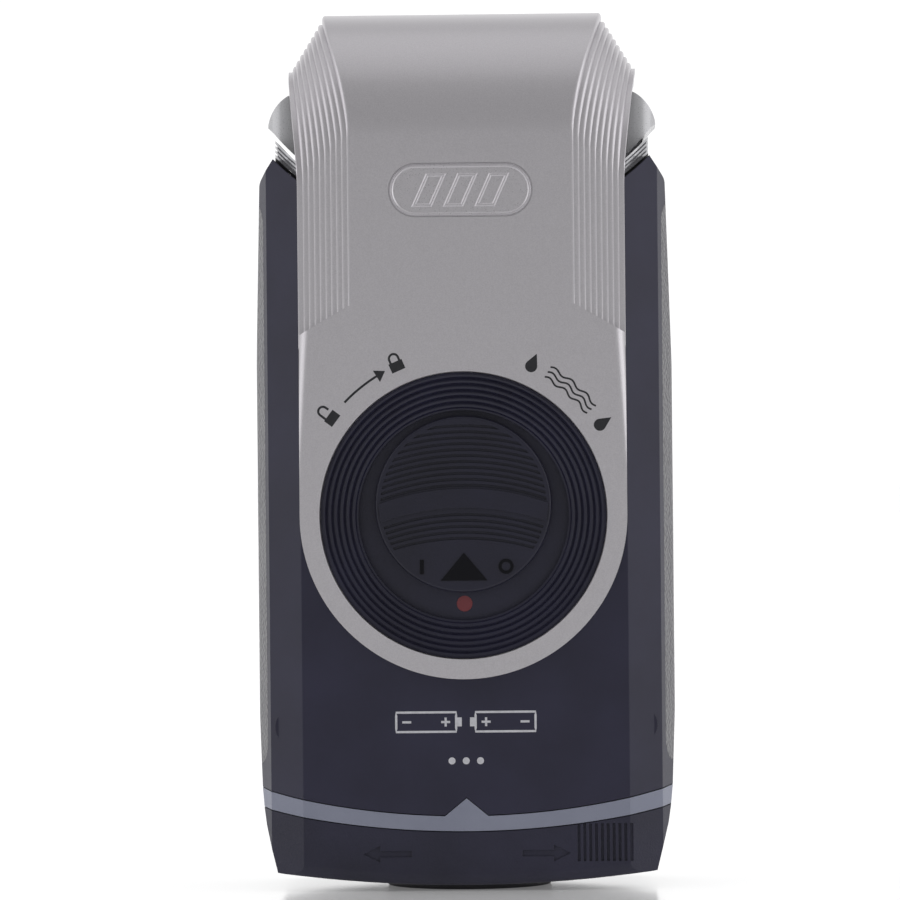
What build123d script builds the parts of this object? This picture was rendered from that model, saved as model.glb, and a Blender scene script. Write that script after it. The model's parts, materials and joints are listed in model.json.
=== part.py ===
"""A pocket foil shaver that runs on two AA cells, with a hood that turns through half a circle.

Frame: +Z up, -Y is the front (dial side), origin on the resting plane under the middle of the body.
All sizes are in millimetres.
"""

import os
from math import sqrt

from build123d import *

# ---------------------------------------------------------------- driving sizes: body
body_width = 56.0
front_plane = 12.5          # front panel, ahead of the origin
rear_plane = 15.5           # back, behind the origin
mid_y = 1.5                 # middle of the body's depth
wall = 2.2                  # shell thickness
panel_half_width = 21.8     # flat front track, as wide as the turning hood
side_edge = 26.2            # where the front bevel turns into the side
bevel_drop = 2.5
side_drop = 8.0
shoulder_half_width = 25.2  # body width at its top edge
upper_half_width = 27.25
shoulder_start = 95.0       # height where the shoulder chamfer starts
rear_taper_start = 72.0
rear_taper = 2.4            # how much thinner the back is at the top
rear_corner_radius = 9.0
part_gap = 0.12             # gap between fixed shells
moving_gap = 0.3            # gap beside moving pieces

# ---------------------------------------------------------------- driving sizes: lower end
band_top_z = 10.1           # trim band at the middle of the front
band_height = 2.1
band_top_radius = 104.0
band_bottom_radius = 118.0
pointer_half_width = 2.8
pointer_height = 2.3
cover_bottom_z = 0.7
cover_bottom_radius = 180.0
cover_corner_radius = 2.6
cover_wall = 1.5
latch_radius = 11.15
latch_thickness = 1.5
latch_post_radius = 1.4
latch_bar_half = 2.45

# ---------------------------------------------------------------- driving sizes: hood and dial
pivot_z = 50.2              # dial centre, where the hood turns
hood_top = 118.0
hood_front = 15.5           # front face of the hood, ahead of the origin
hood_back_gap = 0.2         # front panel to hood plate
hood_half_width = 21.8      # also the radius of its round lower end
hood_wall = 1.7
hood_rear = 12.6
hood_bevel = 1.8
step_count = 9              # terraces beside the smooth middle panel
first_half_width = 15.06
step_drop = 0.13            # each terrace's front is this much lower
step_start_z = 78.2         # lower end of the first terrace
step_start_drop = 0.433
tip_half_width = 19.25      # first terrace at the top edge
tip_pitch = 0.478
tip_top_drop = 0.8
fan_start_z = 101.5         # where the first terrace starts to curve outwards
fan_start_drop = 0.77       # each next one starts this much lower
fan_power = 1.35
plate_bottom_z = 60.0
plate_top_z = 92.0          # the hood is a thicker plate between these heights
dial_radius = 19.07
dial_clearance = 0.1
hub_radius = 17.3
hub_clearance = 0.08
ledge_thickness = 1.1
well_radius = 14.0
bezel_floor = 0.7
ridge_count = 6

# ---------------------------------------------------------------- driving sizes: switch
button_radius = 11.74
button_rise = 1.46          # button centre above the dial centre when locked
switch_travel = 3.2
stem_width = 5.0
stem_height = 3.0
rib_radius = 33.0
dot_radius = 1.05
dot_drop = 11.8             # red dot below the button's lowest centre line

# ---------------------------------------------------------------- driving sizes: head
saddle_z = 122.8            # centre of the arcs that the head sits on
saddle_radius = 35.3
gasket_thickness = 0.35
collar_top_radius = 33.4
ear_bottom_radius = 32.9
collar_half_width = 25.1
collar_front = -11.3
collar_rear = 12.0
sweep_radius = 62.5         # clear radius inside the turning hood
sweep_steps = [(-9.3, 2.4), (-7.6, 1.1), (-6.8, 0.9), (-4.5, 0.0)]  # less room in front of the buttons
sweep_front_radius = 56.0
frame_half_length = 19.2
frame_half_depth = 8.5
frame_top_z = 104.0
foil_half_length = 16.5
foil_radius = 6.5
foil_top = 109.9
foil_thickness = 0.2
ear_inner = 20.9
ear_half_depth = 8.5

# ---------------------------------------------------------------- driving sizes: drive
motor_half_width = 10.05
motor_half_depth = 7.55
motor_base_z = 62.4
motor_length = 18.0
shaft_radius = 1.0
bush_clearance = 0.03
throw = 0.7                 # eccentric pin offset, half the cutter stroke
pin_radius = 0.8
bridge_half_length = 14.0
bridge_z = 84.6
bridge_height = 2.6
drive_pin_radius = 1.5
blade_count = 23
blade_pitch = 1.2
blade_thickness = 0.4

# ---------------------------------------------------------------- driving sizes: cells
cell_radius = 7.25
cell_length = 50.5
nub_height = 1.0
nub_radius = 2.7
cell_x = 11.0
cell_y = 2.8
cell_base_z = 6.6
cell_clearance = 0.2
tube_wall = 0.8
contact_thickness = 0.4

# ---------------------------------------------------------------- driving sizes: fasteners
screw_shank = 1.0
screw_head = 1.9
screw_head_height = 1.3
boss_radius = 2.5
lower_screw_x = 23.1
lower_screw_z = 22.0
upper_screw_x = 20.6
upper_screw_z = 84.0

# worked out from the sizes above
half_width = body_width / 2
split_y = mid_y             # where the front and rear shells meet
inner_front = -front_plane + wall
inner_rear = rear_plane - wall
band_top_centre = band_top_z + band_top_radius
band_bottom_z = band_top_z - band_height
band_bottom_centre = band_bottom_z + band_bottom_radius
hood_back = front_plane + hood_back_gap
step_pitch = (hood_half_width - first_half_width) / step_count
collar_bottom_radius = saddle_radius - gasket_thickness - 0.05
cell_top_z = cell_base_z + cell_length
cradle_bottom_z = 9.5
cradle_top_z = cell_top_z + 4.0
motor_top_z = motor_base_z + motor_length
foil_axis_z = foil_top - foil_radius
button_z = pivot_z + button_rise
tall = 300.0                # longer than anything here, for cutting

os.makedirs("parts", exist_ok=True)


def save(part, name):
    """Labels a finished piece and writes its STEP file."""
    part.label = name
    export_step(part, f"parts/{name}.step")


def arc_height(radius, centre_z, x):
    """Height of a circle's lower side at x."""
    return centre_z - sqrt(radius**2 - x**2)


def facing_front(y):
    """A drawing plane that looks at the front, at depth y. Extruding from it moves forwards."""
    return Plane.XZ.offset(-y)


def coil(radius, wire, height, turns):
    """A coil spring that stands on the origin."""
    with BuildPart() as spring:
        with BuildLine() as path:
            Helix(pitch=(height - 2 * wire) / turns, height=height - 2 * wire, radius=radius)
        with BuildSketch(path.line ^ 0):
            Circle(wire)
        sweep()
    return spring.part.moved(Location((0, 0, wire)))


# ---------------------------------------------------------------- shared outlines
def body_section(inset=0.0, plane=Plane.XY):
    """The body's cross-section: flat front track, bevels, rounded back."""
    with BuildSketch(plane) as sketch:
        with BuildLine():
            Polyline(
                (-panel_half_width, -front_plane),
                (panel_half_width, -front_plane),
                (side_edge, -front_plane + bevel_drop),
                (half_width, -front_plane + side_drop),
                (half_width, rear_plane),
                (-half_width, rear_plane),
                (-half_width, -front_plane + side_drop),
                (-side_edge, -front_plane + bevel_drop),
                close=True,
            )
        make_face()
        rear_corners = sketch.vertices().group_by(Axis.Y)[-1]
        fillet(rear_corners, radius=rear_corner_radius)
        side_corners = sketch.vertices().filter_by(
            lambda v: abs(v.Y + front_plane - side_drop) < 0.01
        )
        fillet(side_corners, radius=5.0)
        if inset:
            offset(amount=-inset)
    return sketch.sketch


def shell_outline(inset=0.0):
    """The shells' front view, from the trim band's arc up to the saddle for the head.

    With an inset it is the cavity's outline, which runs on past both ends."""
    low_x = half_width - 0.4
    low_z = arc_height(band_top_radius, band_top_centre, low_x)
    top_z = arc_height(saddle_radius, saddle_z, shoulder_half_width)
    with BuildSketch(Plane.XZ) as sketch:
        with BuildLine():
            if inset:
                Polyline(
                    (half_width - inset, -tall),
                    (half_width - inset, 70),
                    (upper_half_width - inset, shoulder_start - 1.0),
                    (shoulder_half_width - inset, top_z - 1.0),
                    (shoulder_half_width - inset, tall),
                    (-shoulder_half_width + inset, tall),
                    (-shoulder_half_width + inset, top_z - 1.0),
                    (-upper_half_width + inset, shoulder_start - 1.0),
                    (-half_width + inset, 70),
                    (-half_width + inset, -tall),
                    close=True,
                )
            else:
                ThreePointArc((-low_x, low_z), (0, band_top_z), (low_x, low_z))
                Polyline(
                    (low_x, low_z),
                    (half_width, 24),
                    (half_width, 70),
                    (upper_half_width, shoulder_start),
                    (shoulder_half_width, top_z),
                )
                ThreePointArc(
                    (shoulder_half_width, top_z),
                    (0, saddle_z - saddle_radius),
                    (-shoulder_half_width, top_z),
                )
                Polyline(
                    (-shoulder_half_width, top_z),
                    (-upper_half_width, shoulder_start),
                    (-half_width, 70),
                    (-half_width, 24),
                    (-low_x, low_z),
                )
        make_face()
    return sketch.sketch


def shell_side_view(inset=0.0):
    """The shells' side view: straight front, back that thins towards the head."""
    with BuildSketch(Plane.YZ) as sketch:
        with BuildLine():
            Polyline(
                (-front_plane + inset, -tall),
                (rear_plane - inset, -tall),
                (rear_plane - inset, rear_taper_start),
                (rear_plane - rear_taper - inset, shoulder_start),
                (rear_plane - rear_taper - inset, tall),
                (-front_plane + inset, tall),
                close=True,
            )
        make_face()
    return sketch.sketch


def envelope(inset=0.0):
    """The solid body outline, or with an inset the room inside it."""
    with BuildPart() as solid:
        extrude(body_section(inset), amount=tall / 2, both=True)
        extrude(shell_outline(inset), amount=tall / 2, both=True, mode=Mode.INTERSECT)
        extrude(shell_side_view(inset), amount=tall, both=True, mode=Mode.INTERSECT)
        if not inset:
            shoulders = solid.edges().filter_by(Axis.Y).filter_by(
                lambda e: abs(e.center().Z - shoulder_start) < 0.5
            )
            fillet(shoulders, radius=2.0)
    return solid.part


def saddle_ring(low_radius, high_radius):
    """Front view of the strip between two arcs about the head's centre; low_radius is the larger."""
    with BuildSketch(Plane.XZ) as sketch:
        with Locations((0, saddle_z)):
            Circle(low_radius)
            Circle(high_radius, mode=Mode.SUBTRACT)
        with Locations((0, saddle_z + tall / 2)):
            Rectangle(tall, tall, mode=Mode.SUBTRACT)
    return sketch.sketch


def rounded_plan(x_half, y_low, y_high, radius, z_low, z_high):
    """A block with rounded upright edges."""
    with BuildPart() as block:
        with BuildSketch(Plane.XY.offset(z_low)):
            with Locations((0, (y_low + y_high) / 2)):
                RectangleRounded(2 * x_half, y_high - y_low, radius)
        extrude(amount=z_high - z_low)
    return block.part


def pointer_outline(grow=0.0):
    """The small triangle that stands up from the trim band."""
    base_z = band_top_z - 1.0
    reach = pointer_half_width * (pointer_height + 1.0) / pointer_height + grow
    with BuildSketch(Plane.XZ) as sketch:
        with BuildLine():
            Polyline(
                (-reach, base_z), (reach, base_z), (0, band_top_z + pointer_height + grow), close=True
            )
        make_face()
    return sketch.sketch


body_solid = envelope()
body_room = envelope(wall)
grip_front = -8.5
grip_rear = 10.5
grip_bottom = 17.0
grip_top = 92.0
grip_thickness = 0.9


def grip_region(grow=0.0):
    """The side area that the soft grips fill, both sides, as blocks."""
    with BuildPart() as region:
        with Locations(
            (half_width, (grip_front + grip_rear) / 2, (grip_bottom + grip_top) / 2),
            (-half_width, (grip_front + grip_rear) / 2, (grip_bottom + grip_top) / 2),
        ):
            Box(8.0, grip_rear - grip_front + 2 * grow, grip_top - grip_bottom + 2 * grow)
        fillet(region.edges().filter_by(Axis.X), radius=3.0)
    return region.part


grip_bed = envelope(grip_thickness)


def seam_strips(outer_inset, inner_inset, depth):
    """Two thin strips that follow the seam inside the side walls."""
    with BuildPart() as strips:
        with BuildSketch(facing_front(split_y)):
            add(shell_outline())
            offset(amount=-outer_inset)
        extrude(amount=depth / 2, both=True)
        with BuildSketch(facing_front(split_y)):
            add(shell_outline())
            offset(amount=-inner_inset)
        extrude(amount=depth / 2, both=True, mode=Mode.SUBTRACT)
        with Locations((0, 0, (grip_bottom + shoulder_start) / 2)):
            Box(tall, tall, shoulder_start - grip_bottom - 1.0, mode=Mode.INTERSECT)
            Box(2 * (half_width - 4.0), tall, tall, mode=Mode.SUBTRACT)
    return strips.part


screw_places = [
    (-lower_screw_x, lower_screw_z),
    (lower_screw_x, lower_screw_z),
    (-upper_screw_x, upper_screw_z),
    (upper_screw_x, upper_screw_z),
]
seal_outer = 1.25
seal_inner = 1.75
seal_depth = 1.0
screw_tip = split_y - 5.0
screw_seat = split_y + 5.5
boss_hole_radius = 10.6     # where the bezel's bosses pass through the front wall
bezel_boss_radius = 1.8
slot_height = stem_height + switch_travel + 2 * moving_gap
slot_z = button_z - switch_travel / 2

# ---------------------------------------------------------------- shells
with BuildPart() as front_housing:
    add(body_solid)
    add(body_room, mode=Mode.SUBTRACT)
    with Locations((0, split_y + tall / 2, 0)):
        Box(tall, tall, 2 * tall, mode=Mode.SUBTRACT)
    with BuildSketch(facing_front(split_y - 0.1)):
        with Locations(*screw_places):
            Circle(boss_radius)
    extrude(amount=split_y - 0.1 - inner_front + 0.3)
    with BuildSketch(facing_front(split_y)):
        with Locations(*screw_places):
            Circle(screw_shank + 0.02)
    extrude(amount=split_y - screw_tip + 1.0, mode=Mode.SUBTRACT)
    add(grip_region() - grip_bed, mode=Mode.SUBTRACT)
    add(seam_strips(seal_outer, seal_inner, seal_depth), mode=Mode.SUBTRACT)
    extrude(pointer_outline(part_gap), amount=tall / 2, mode=Mode.SUBTRACT)
    # opening behind the dial for the switch stem, and holes for the bezel's bosses
    with BuildSketch(Plane.XZ):
        with Locations((0, slot_z)):
            Rectangle(stem_width + 2 * moving_gap, slot_height)
        with Locations((0, pivot_z)):
            with PolarLocations(boss_hole_radius, 3, start_angle=30):
                Circle(bezel_boss_radius + 0.05)
    extrude(amount=tall, mode=Mode.SUBTRACT)
save(front_housing.part, "front_housing")

with BuildPart() as rear_housing:
    add(body_solid)
    add(body_room, mode=Mode.SUBTRACT)
    with Locations((0, split_y + part_gap - tall / 2, 0)):
        Box(tall, tall, 2 * tall, mode=Mode.SUBTRACT)
    with BuildSketch(facing_front(inner_rear + 0.3)):
        with Locations(*screw_places):
            Circle(boss_radius + 0.4)
    extrude(amount=inner_rear + 0.3 - split_y - part_gap)
    add(body_solid, mode=Mode.INTERSECT)
    with BuildSketch(facing_front(split_y)):
        with Locations(*screw_places):
            Circle(screw_shank + 0.15)
    extrude(amount=-tall, mode=Mode.SUBTRACT)
    with BuildSketch(facing_front(screw_seat)):
        with Locations(*screw_places):
            Circle(screw_head + 0.3)
    extrude(amount=-tall, mode=Mode.SUBTRACT)
    add(grip_region() - grip_bed, mode=Mode.SUBTRACT)
    add(seam_strips(seal_outer, seal_inner, seal_depth), mode=Mode.SUBTRACT)
    # finger grooves across the back
    with BuildSketch(facing_front(rear_plane - 0.35)):
        with Locations((0, 46)):
            with GridLocations(0, 3.2, 1, 9):
                SlotOverall(26, 1.2)
    extrude(amount=-5, mode=Mode.SUBTRACT)
save(rear_housing.part, "rear_housing")

with BuildPart() as housing_seal:
    add(seam_strips(seal_outer + 0.05, seal_inner - 0.05, seal_depth - 0.1))
save(housing_seal.part, "housing_seal")

for side, sign in (("left", -1), ("right", 1)):
    with BuildPart() as side_grip:
        add(body_solid)
        add(envelope(grip_thickness - 0.03), mode=Mode.SUBTRACT)
        add(grip_region(-part_gap / 2), mode=Mode.INTERSECT)
        with Locations((-sign * tall / 2, 0, 0)):
            Box(tall, tall, 2 * tall, mode=Mode.SUBTRACT)
    save(side_grip.part, f"side_grip_{side}")

with BuildPart() as housing_screws:
    with BuildSketch(facing_front(screw_seat)):
        with Locations(*screw_places):
            Circle(screw_head)
    extrude(amount=-screw_head_height)
    with BuildSketch(facing_front(screw_seat)):
        with Locations(*screw_places):
            Circle(screw_shank)
    extrude(amount=screw_seat - screw_tip)
    with BuildSketch(facing_front(screw_seat + screw_head_height)):
        with Locations(*screw_places):
            Rectangle(2.4, 0.5)
            Rectangle(0.5, 2.4)
    extrude(amount=0.7, mode=Mode.SUBTRACT)
save(housing_screws.part, "housing_screws")

# ---------------------------------------------------------------- trim band between body and cover
skirt_outer = 3.55          # how far inside the body's outline the skirt stands
skirt_inner = 4.3
skirt_low_z = band_bottom_z - 1.6
band_side_x = half_width - 0.4
cover_side_x = half_width - 0.65
with BuildPart() as trim_band:
    extrude(body_section(), amount=tall / 2, both=True)
    with BuildSketch(Plane.XZ):
        with BuildLine():
            band_low = arc_height(band_bottom_radius, band_bottom_centre, cover_side_x)
            band_high = arc_height(band_top_radius, band_top_centre, band_side_x)
            ThreePointArc((-cover_side_x, band_low), (0, band_bottom_z), (cover_side_x, band_low))
            Line((cover_side_x, band_low), (band_side_x, band_high - part_gap))
            ThreePointArc(
                (band_side_x, band_high - part_gap),
                (0, band_top_z - part_gap),
                (-band_side_x, band_high - part_gap),
            )
            Line((-band_side_x, band_high - part_gap), (-cover_side_x, band_low))
        make_face()
    extrude(amount=tall / 2, both=True, mode=Mode.INTERSECT)
    # the skirt that stands inside the battery cover
    extrude(body_section(skirt_outer, Plane.XY.offset(skirt_low_z)), amount=band_height + 1.5)
    extrude(body_section(skirt_inner), amount=tall / 2, both=True, mode=Mode.SUBTRACT)
    with BuildSketch(facing_front(-front_plane + wall)):
        add(pointer_outline())
    extrude(amount=wall)
save(trim_band.part, "trim_band")

with BuildPart() as cover_seal:
    with BuildSketch(Plane.XY.offset(band_bottom_z - 1.1)):
        add(body_section(skirt_outer - 0.35))
        add(body_section(skirt_outer - 0.02), mode=Mode.SUBTRACT)
    extrude(amount=0.8)
save(cover_seal.part, "cover_seal")

# ---------------------------------------------------------------- battery cover
def cover_solid(inset=0.0, top_gap=part_gap):
    """The battery cover's outline as a solid, or with an inset the room inside it."""
    side_z = arc_height(band_bottom_radius, band_bottom_centre, cover_side_x) - top_gap
    top_z = band_bottom_z - top_gap
    foot_x = half_width - 2.6 - inset
    foot_z = cover_bottom_z + foot_x**2 / (2 * cover_bottom_radius) + inset
    with BuildPart() as solid:
        extrude(body_section(inset), amount=tall / 2, both=True)
        with BuildSketch(Plane.XZ) as front_view:
            with BuildLine():
                if inset:
                    Polyline(
                        (-foot_x, foot_z),
                        (-half_width + 1.0 + inset, 8.8),
                        (-cover_side_x + inset, 12),
                        (-cover_side_x + inset, 30),
                        (cover_side_x - inset, 30),
                        (cover_side_x - inset, 12),
                        (half_width - 1.0 - inset, 8.8),
                        (foot_x, foot_z),
                    )
                else:
                    ThreePointArc((-cover_side_x, side_z), (0, top_z), (cover_side_x, side_z))
                    Polyline((cover_side_x, side_z), (half_width - 1.0, 8.8), (foot_x, foot_z))
                    Polyline((-foot_x, foot_z), (-half_width + 1.0, 8.8), (-cover_side_x, side_z))
                ThreePointArc((-foot_x, foot_z), (0, cover_bottom_z + inset), (foot_x, foot_z))
            make_face()
            lower_corners = front_view.vertices().filter_by(lambda v: abs(v.Z - foot_z) < 0.01)
            fillet(lower_corners, radius=cover_corner_radius)
        extrude(amount=tall / 2, both=True, mode=Mode.INTERSECT)
    return solid.part


arrow_z = 5.0
arrow_x = 10.4
thumb_rib_pitch = 0.78
floor_top = cover_bottom_z + 2.8
disc_recess = 0.35

with BuildPart() as battery_cover:
    add(cover_solid())
    front_foot = battery_cover.edges().group_by(Axis.Y)[0].filter_by(
        lambda e: e.center().Z < 4 and e.length > 10
    )
    fillet(front_foot, radius=1.6)
    add(cover_solid(cover_wall), mode=Mode.SUBTRACT)
    # floor that carries the contacts
    with BuildSketch(Plane.XY.offset(floor_top)):
        add(body_section(cover_wall + 0.6))
    extrude(amount=-2.0)
    add(cover_solid(), mode=Mode.INTERSECT)
    # recess and bore for the turning foot
    with BuildSketch(Plane.XY):
        with Locations((0, mid_y)):
            Circle(latch_radius + moving_gap)
    extrude(amount=latch_thickness + disc_recess, mode=Mode.SUBTRACT)
    with Locations((0, mid_y, 0)):
        Cylinder(latch_post_radius + 0.08, tall, mode=Mode.SUBTRACT)
    # fine thumb ribs at the right of the front
    with BuildSketch(facing_front(-front_plane + 0.3)):
        with Locations((18.85, 6.4)):
            with GridLocations(thumb_rib_pitch, 0, 11, 1):
                Rectangle(0.36, 5.0)
    extrude(amount=3, mode=Mode.SUBTRACT)
    # sunk arrows for the two turning directions
    with BuildSketch(facing_front(-front_plane + 0.25)):
        for sign in (-1, 1):
            with BuildLine():
                Polyline(
                    (sign * (arrow_x + 3.4), arrow_z),
                    (sign * (arrow_x + 1.2), arrow_z + 1.1),
                    (sign * (arrow_x + 1.2), arrow_z + 0.4),
                    (sign * (arrow_x - 3.0), arrow_z + 0.4),
                    (sign * (arrow_x - 3.0), arrow_z - 0.4),
                    (sign * (arrow_x + 1.2), arrow_z - 0.4),
                    (sign * (arrow_x + 1.2), arrow_z - 1.1),
                    close=True,
                )
            make_face()
    extrude(amount=3, mode=Mode.SUBTRACT)
save(battery_cover.part, "battery_cover")

catch_z = 13.0
with BuildPart() as cover_latch:
    with Locations((0, mid_y, latch_thickness / 2)):
        Cylinder(latch_radius, latch_thickness)
    fillet(cover_latch.edges().group_by(Axis.Z)[0], radius=0.4)
    with Locations((0, mid_y, (catch_z + 4.0) / 2)):
        Cylinder(latch_post_radius, catch_z + 4.0)
    with Locations((0, mid_y, catch_z + 3.0)):
        Box(2 * latch_bar_half - 0.5, 2.2, 2.0)
    # coin slot across the foot
    with Locations((0, mid_y, 0)):
        Box(15.0, 1.9, 1.6, mode=Mode.SUBTRACT)
save(cover_latch.part, "cover_latch")

with BuildPart() as latch_washer:
    with BuildSketch(Plane.XY.offset(floor_top)):
        with Locations((0, mid_y)):
            Circle(3.0)
            Circle(latch_post_radius + 0.1, mode=Mode.SUBTRACT)
    extrude(amount=0.5)
save(latch_washer.part, "latch_washer")

with BuildPart() as cover_contact:
    with BuildSketch(Plane.XY.offset(floor_top)):
        with Locations((0, cell_y)):
            RectangleRounded(2 * cell_x + 9.0, 9.0, 1.5)
        with Locations((0, mid_y)):
            Circle(3.3, mode=Mode.SUBTRACT)
    extrude(amount=contact_thickness)
    # raised contact under the cell that stands on its nub
    with Locations((cell_x, cell_y, floor_top)):
        Cone(3.0, 2.0, cell_base_z - 0.2 - floor_top, align=(Align.CENTER, Align.CENTER, Align.MIN))
save(cover_contact.part, "cover_contact")

cover_coil_height = cell_base_z - floor_top - contact_thickness - 0.2
with BuildPart() as cover_spring:
    with Locations((-cell_x, cell_y, floor_top + contact_thickness)):
        add(coil(3.2, 0.3, cover_coil_height, 3))
save(cover_spring.part, "cover_spring")

# ---------------------------------------------------------------- cells and their cradle
for side, sign, nub_up in (("left", -1, True), ("right", 1, False)):
    with BuildPart() as cell:
        body_low = cell_base_z if nub_up else cell_base_z + nub_height
        with Locations((sign * cell_x, cell_y, body_low + (cell_length - nub_height) / 2)):
            Cylinder(cell_radius, cell_length - nub_height)
        fillet(cell.edges().filter_by(GeomType.CIRCLE), radius=0.5)
        nub_z = cell_top_z - nub_height / 2 if nub_up else cell_base_z + nub_height / 2
        with Locations((sign * cell_x, cell_y, nub_z)):
            Cylinder(nub_radius, nub_height)
    save(cell.part, f"cell_{side}")

cradle_half_width = cell_x + cell_radius + cell_clearance + tube_wall
cradle_half_depth = cell_radius + cell_clearance + tube_wall
with BuildPart() as battery_cradle:
    with BuildSketch(Plane.XY.offset(cradle_bottom_z)):
        with Locations((0, cell_y)):
            RectangleRounded(2 * cradle_half_width, 2 * cradle_half_depth, cradle_half_depth - 0.1)
    extrude(amount=cradle_top_z - cradle_bottom_z)
    with BuildSketch(Plane.XY.offset(cradle_bottom_z - 1)):
        with Locations((-cell_x, cell_y), (cell_x, cell_y)):
            Circle(cell_radius + cell_clearance)
    extrude(amount=cradle_top_z - 1.2 - cradle_bottom_z + 1, mode=Mode.SUBTRACT)
    # windows that show the cells, front and back
    with BuildSketch(Plane.XZ):
        with Locations((-cell_x, 36), (cell_x, 36)):
            RectangleRounded(8.0, 30.0, 2.0)
    extrude(amount=tall / 2, both=True, mode=Mode.SUBTRACT)
    # shaft for the latch post, with a round catch hole
    with BuildSketch(Plane.XY.offset(cradle_bottom_z - 1)):
        with Locations((0, mid_y)):
            Circle(latch_bar_half + 0.45)
    extrude(amount=11.5, mode=Mode.SUBTRACT)
    with BuildSketch(Plane.XY.offset(catch_z)):
        with Locations((0, mid_y)):
            Circle(latch_bar_half + 0.6)
            Circle(latch_bar_half + 0.05, mode=Mode.SUBTRACT)
    extrude(amount=-1.6)
    with Locations((-cell_x, cell_y, cradle_top_z - 1.2)):
        Box(9.0, 7.0, 1.4, align=(Align.CENTER, Align.CENTER, Align.MAX))
save(battery_cradle.part, "battery_cradle")

with BuildPart() as cell_contact_positive:
    pad_low = cell_top_z + 0.02
    with Locations((-cell_x, cell_y, pad_low)):
        Box(8.0, 6.0, cradle_top_z - 2.6 - pad_low, align=(Align.CENTER, Align.CENTER, Align.MIN))
save(cell_contact_positive.part, "cell_contact_positive")

with BuildPart() as cell_contact_negative:
    with Locations((cell_x, cell_y, cradle_top_z - 1.2)):
        Box(9.0, 7.0, contact_thickness, align=(Align.CENTER, Align.CENTER, Align.MAX))
    with Locations((cell_x, cell_y, cell_top_z + 0.02)):
        add(coil(2.9, 0.3, cradle_top_z - 1.2 - contact_thickness - cell_top_z - 0.04, 3))
save(cell_contact_negative.part, "cell_contact_negative")

# ---------------------------------------------------------------- motor
can_wall = 0.8
with BuildPart() as motor_can:
    with BuildSketch(Plane.XY.offset(motor_base_z)):
        with Locations((0, mid_y)):
            Circle(motor_half_width)
            Rectangle(3 * motor_half_width, 2 * motor_half_depth, mode=Mode.INTERSECT)
    extrude(amount=motor_length)
    with Locations((0, mid_y, motor_top_z)):
        Cylinder(3.0, 1.4, align=(Align.CENTER, Align.CENTER, Align.MIN))
    with BuildSketch(Plane.XY.offset(motor_base_z)):
        with Locations((0, mid_y)):
            Circle(motor_half_width - can_wall)
            Rectangle(3 * motor_half_width, 2 * (motor_half_depth - can_wall), mode=Mode.INTERSECT)
    extrude(amount=motor_length - can_wall, mode=Mode.SUBTRACT)
    with Locations((0, mid_y, motor_top_z)):
        Cylinder(2.1, 20, mode=Mode.SUBTRACT)
    with BuildSketch(Plane.XY.offset(motor_top_z)):
        with Locations((-6.0, mid_y), (6.0, mid_y)):
            Circle(0.8)
    extrude(amount=-can_wall, mode=Mode.SUBTRACT)
save(motor_can.part, "motor_can")

with BuildPart() as motor_endcap:
    with BuildSketch(Plane.XY.offset(motor_base_z)):
        with Locations((0, mid_y)):
            Circle(motor_half_width - can_wall - 0.02)
            Rectangle(
                3 * motor_half_width, 2 * (motor_half_depth - can_wall - 0.02), mode=Mode.INTERSECT
            )
            Circle(2.1, mode=Mode.SUBTRACT)
    extrude(amount=2.2)
save(motor_endcap.part, "motor_endcap")

with BuildPart() as motor_bushes:
    for bush_z in (motor_base_z + 0.1, motor_top_z - 0.7):
        with BuildSketch(Plane.XY.offset(bush_z)):
            with Locations((0, mid_y)):
                Circle(2.08)
                Circle(shaft_radius + bush_clearance, mode=Mode.SUBTRACT)
        extrude(amount=2.0)
save(motor_bushes.part, "motor_bushes")

with BuildPart() as motor_magnets:
    with BuildSketch(Plane.XY.offset(motor_base_z + 4.0)):
        with Locations((0, mid_y)):
            Circle(motor_half_width - can_wall - 0.05)
            Circle(6.3, mode=Mode.SUBTRACT)
            Rectangle(3 * motor_half_width, 9.0, mode=Mode.INTERSECT)
    extrude(amount=11.0)
save(motor_magnets.part, "motor_magnets")

with BuildPart() as motor_terminals:
    with Locations((-5.5, mid_y, motor_base_z), (5.5, mid_y, motor_base_z)):
        Box(0.4, 2.2, 1.1, align=(Align.CENTER, Align.CENTER, Align.MAX))
save(motor_terminals.part, "motor_terminals")

with BuildPart() as motor_armature:
    with BuildSketch(Plane.XY.offset(motor_base_z + 5.0)):
        with Locations((0, mid_y)):
            Circle(5.7)
            with PolarLocations(4.2, 3):
                SlotOverall(5.4, 0.9, mode=Mode.SUBTRACT)
            Circle(shaft_radius, mode=Mode.SUBTRACT)
    extrude(amount=9.0)
    with BuildSketch(Plane.XY.offset(motor_base_z + 2.8)):
        with Locations((0, mid_y)):
            Circle(2.3)
            Circle(shaft_radius, mode=Mode.SUBTRACT)
    extrude(amount=2.2)
save(motor_armature.part, "motor_armature")

eccentric_z = motor_top_z + 1.6
with BuildPart() as motor_shaft:
    with Locations((0, mid_y, motor_base_z - 0.6)):
        Cylinder(
            shaft_radius,
            eccentric_z + 1.8 - motor_base_z + 0.6,
            align=(Align.CENTER, Align.CENTER, Align.MIN),
        )
save(motor_shaft.part, "motor_shaft")

with BuildPart() as eccentric:
    with BuildSketch(Plane.XY.offset(eccentric_z)):
        with Locations((0, mid_y)):
            Circle(3.2)
            Circle(shaft_radius, mode=Mode.SUBTRACT)
    extrude(amount=1.8)
    with Locations((throw, mid_y, eccentric_z + 1.8)):
        Cylinder(pin_radius, 2.2, align=(Align.CENTER, Align.CENTER, Align.MIN))
save(eccentric.part, "eccentric")

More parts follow.
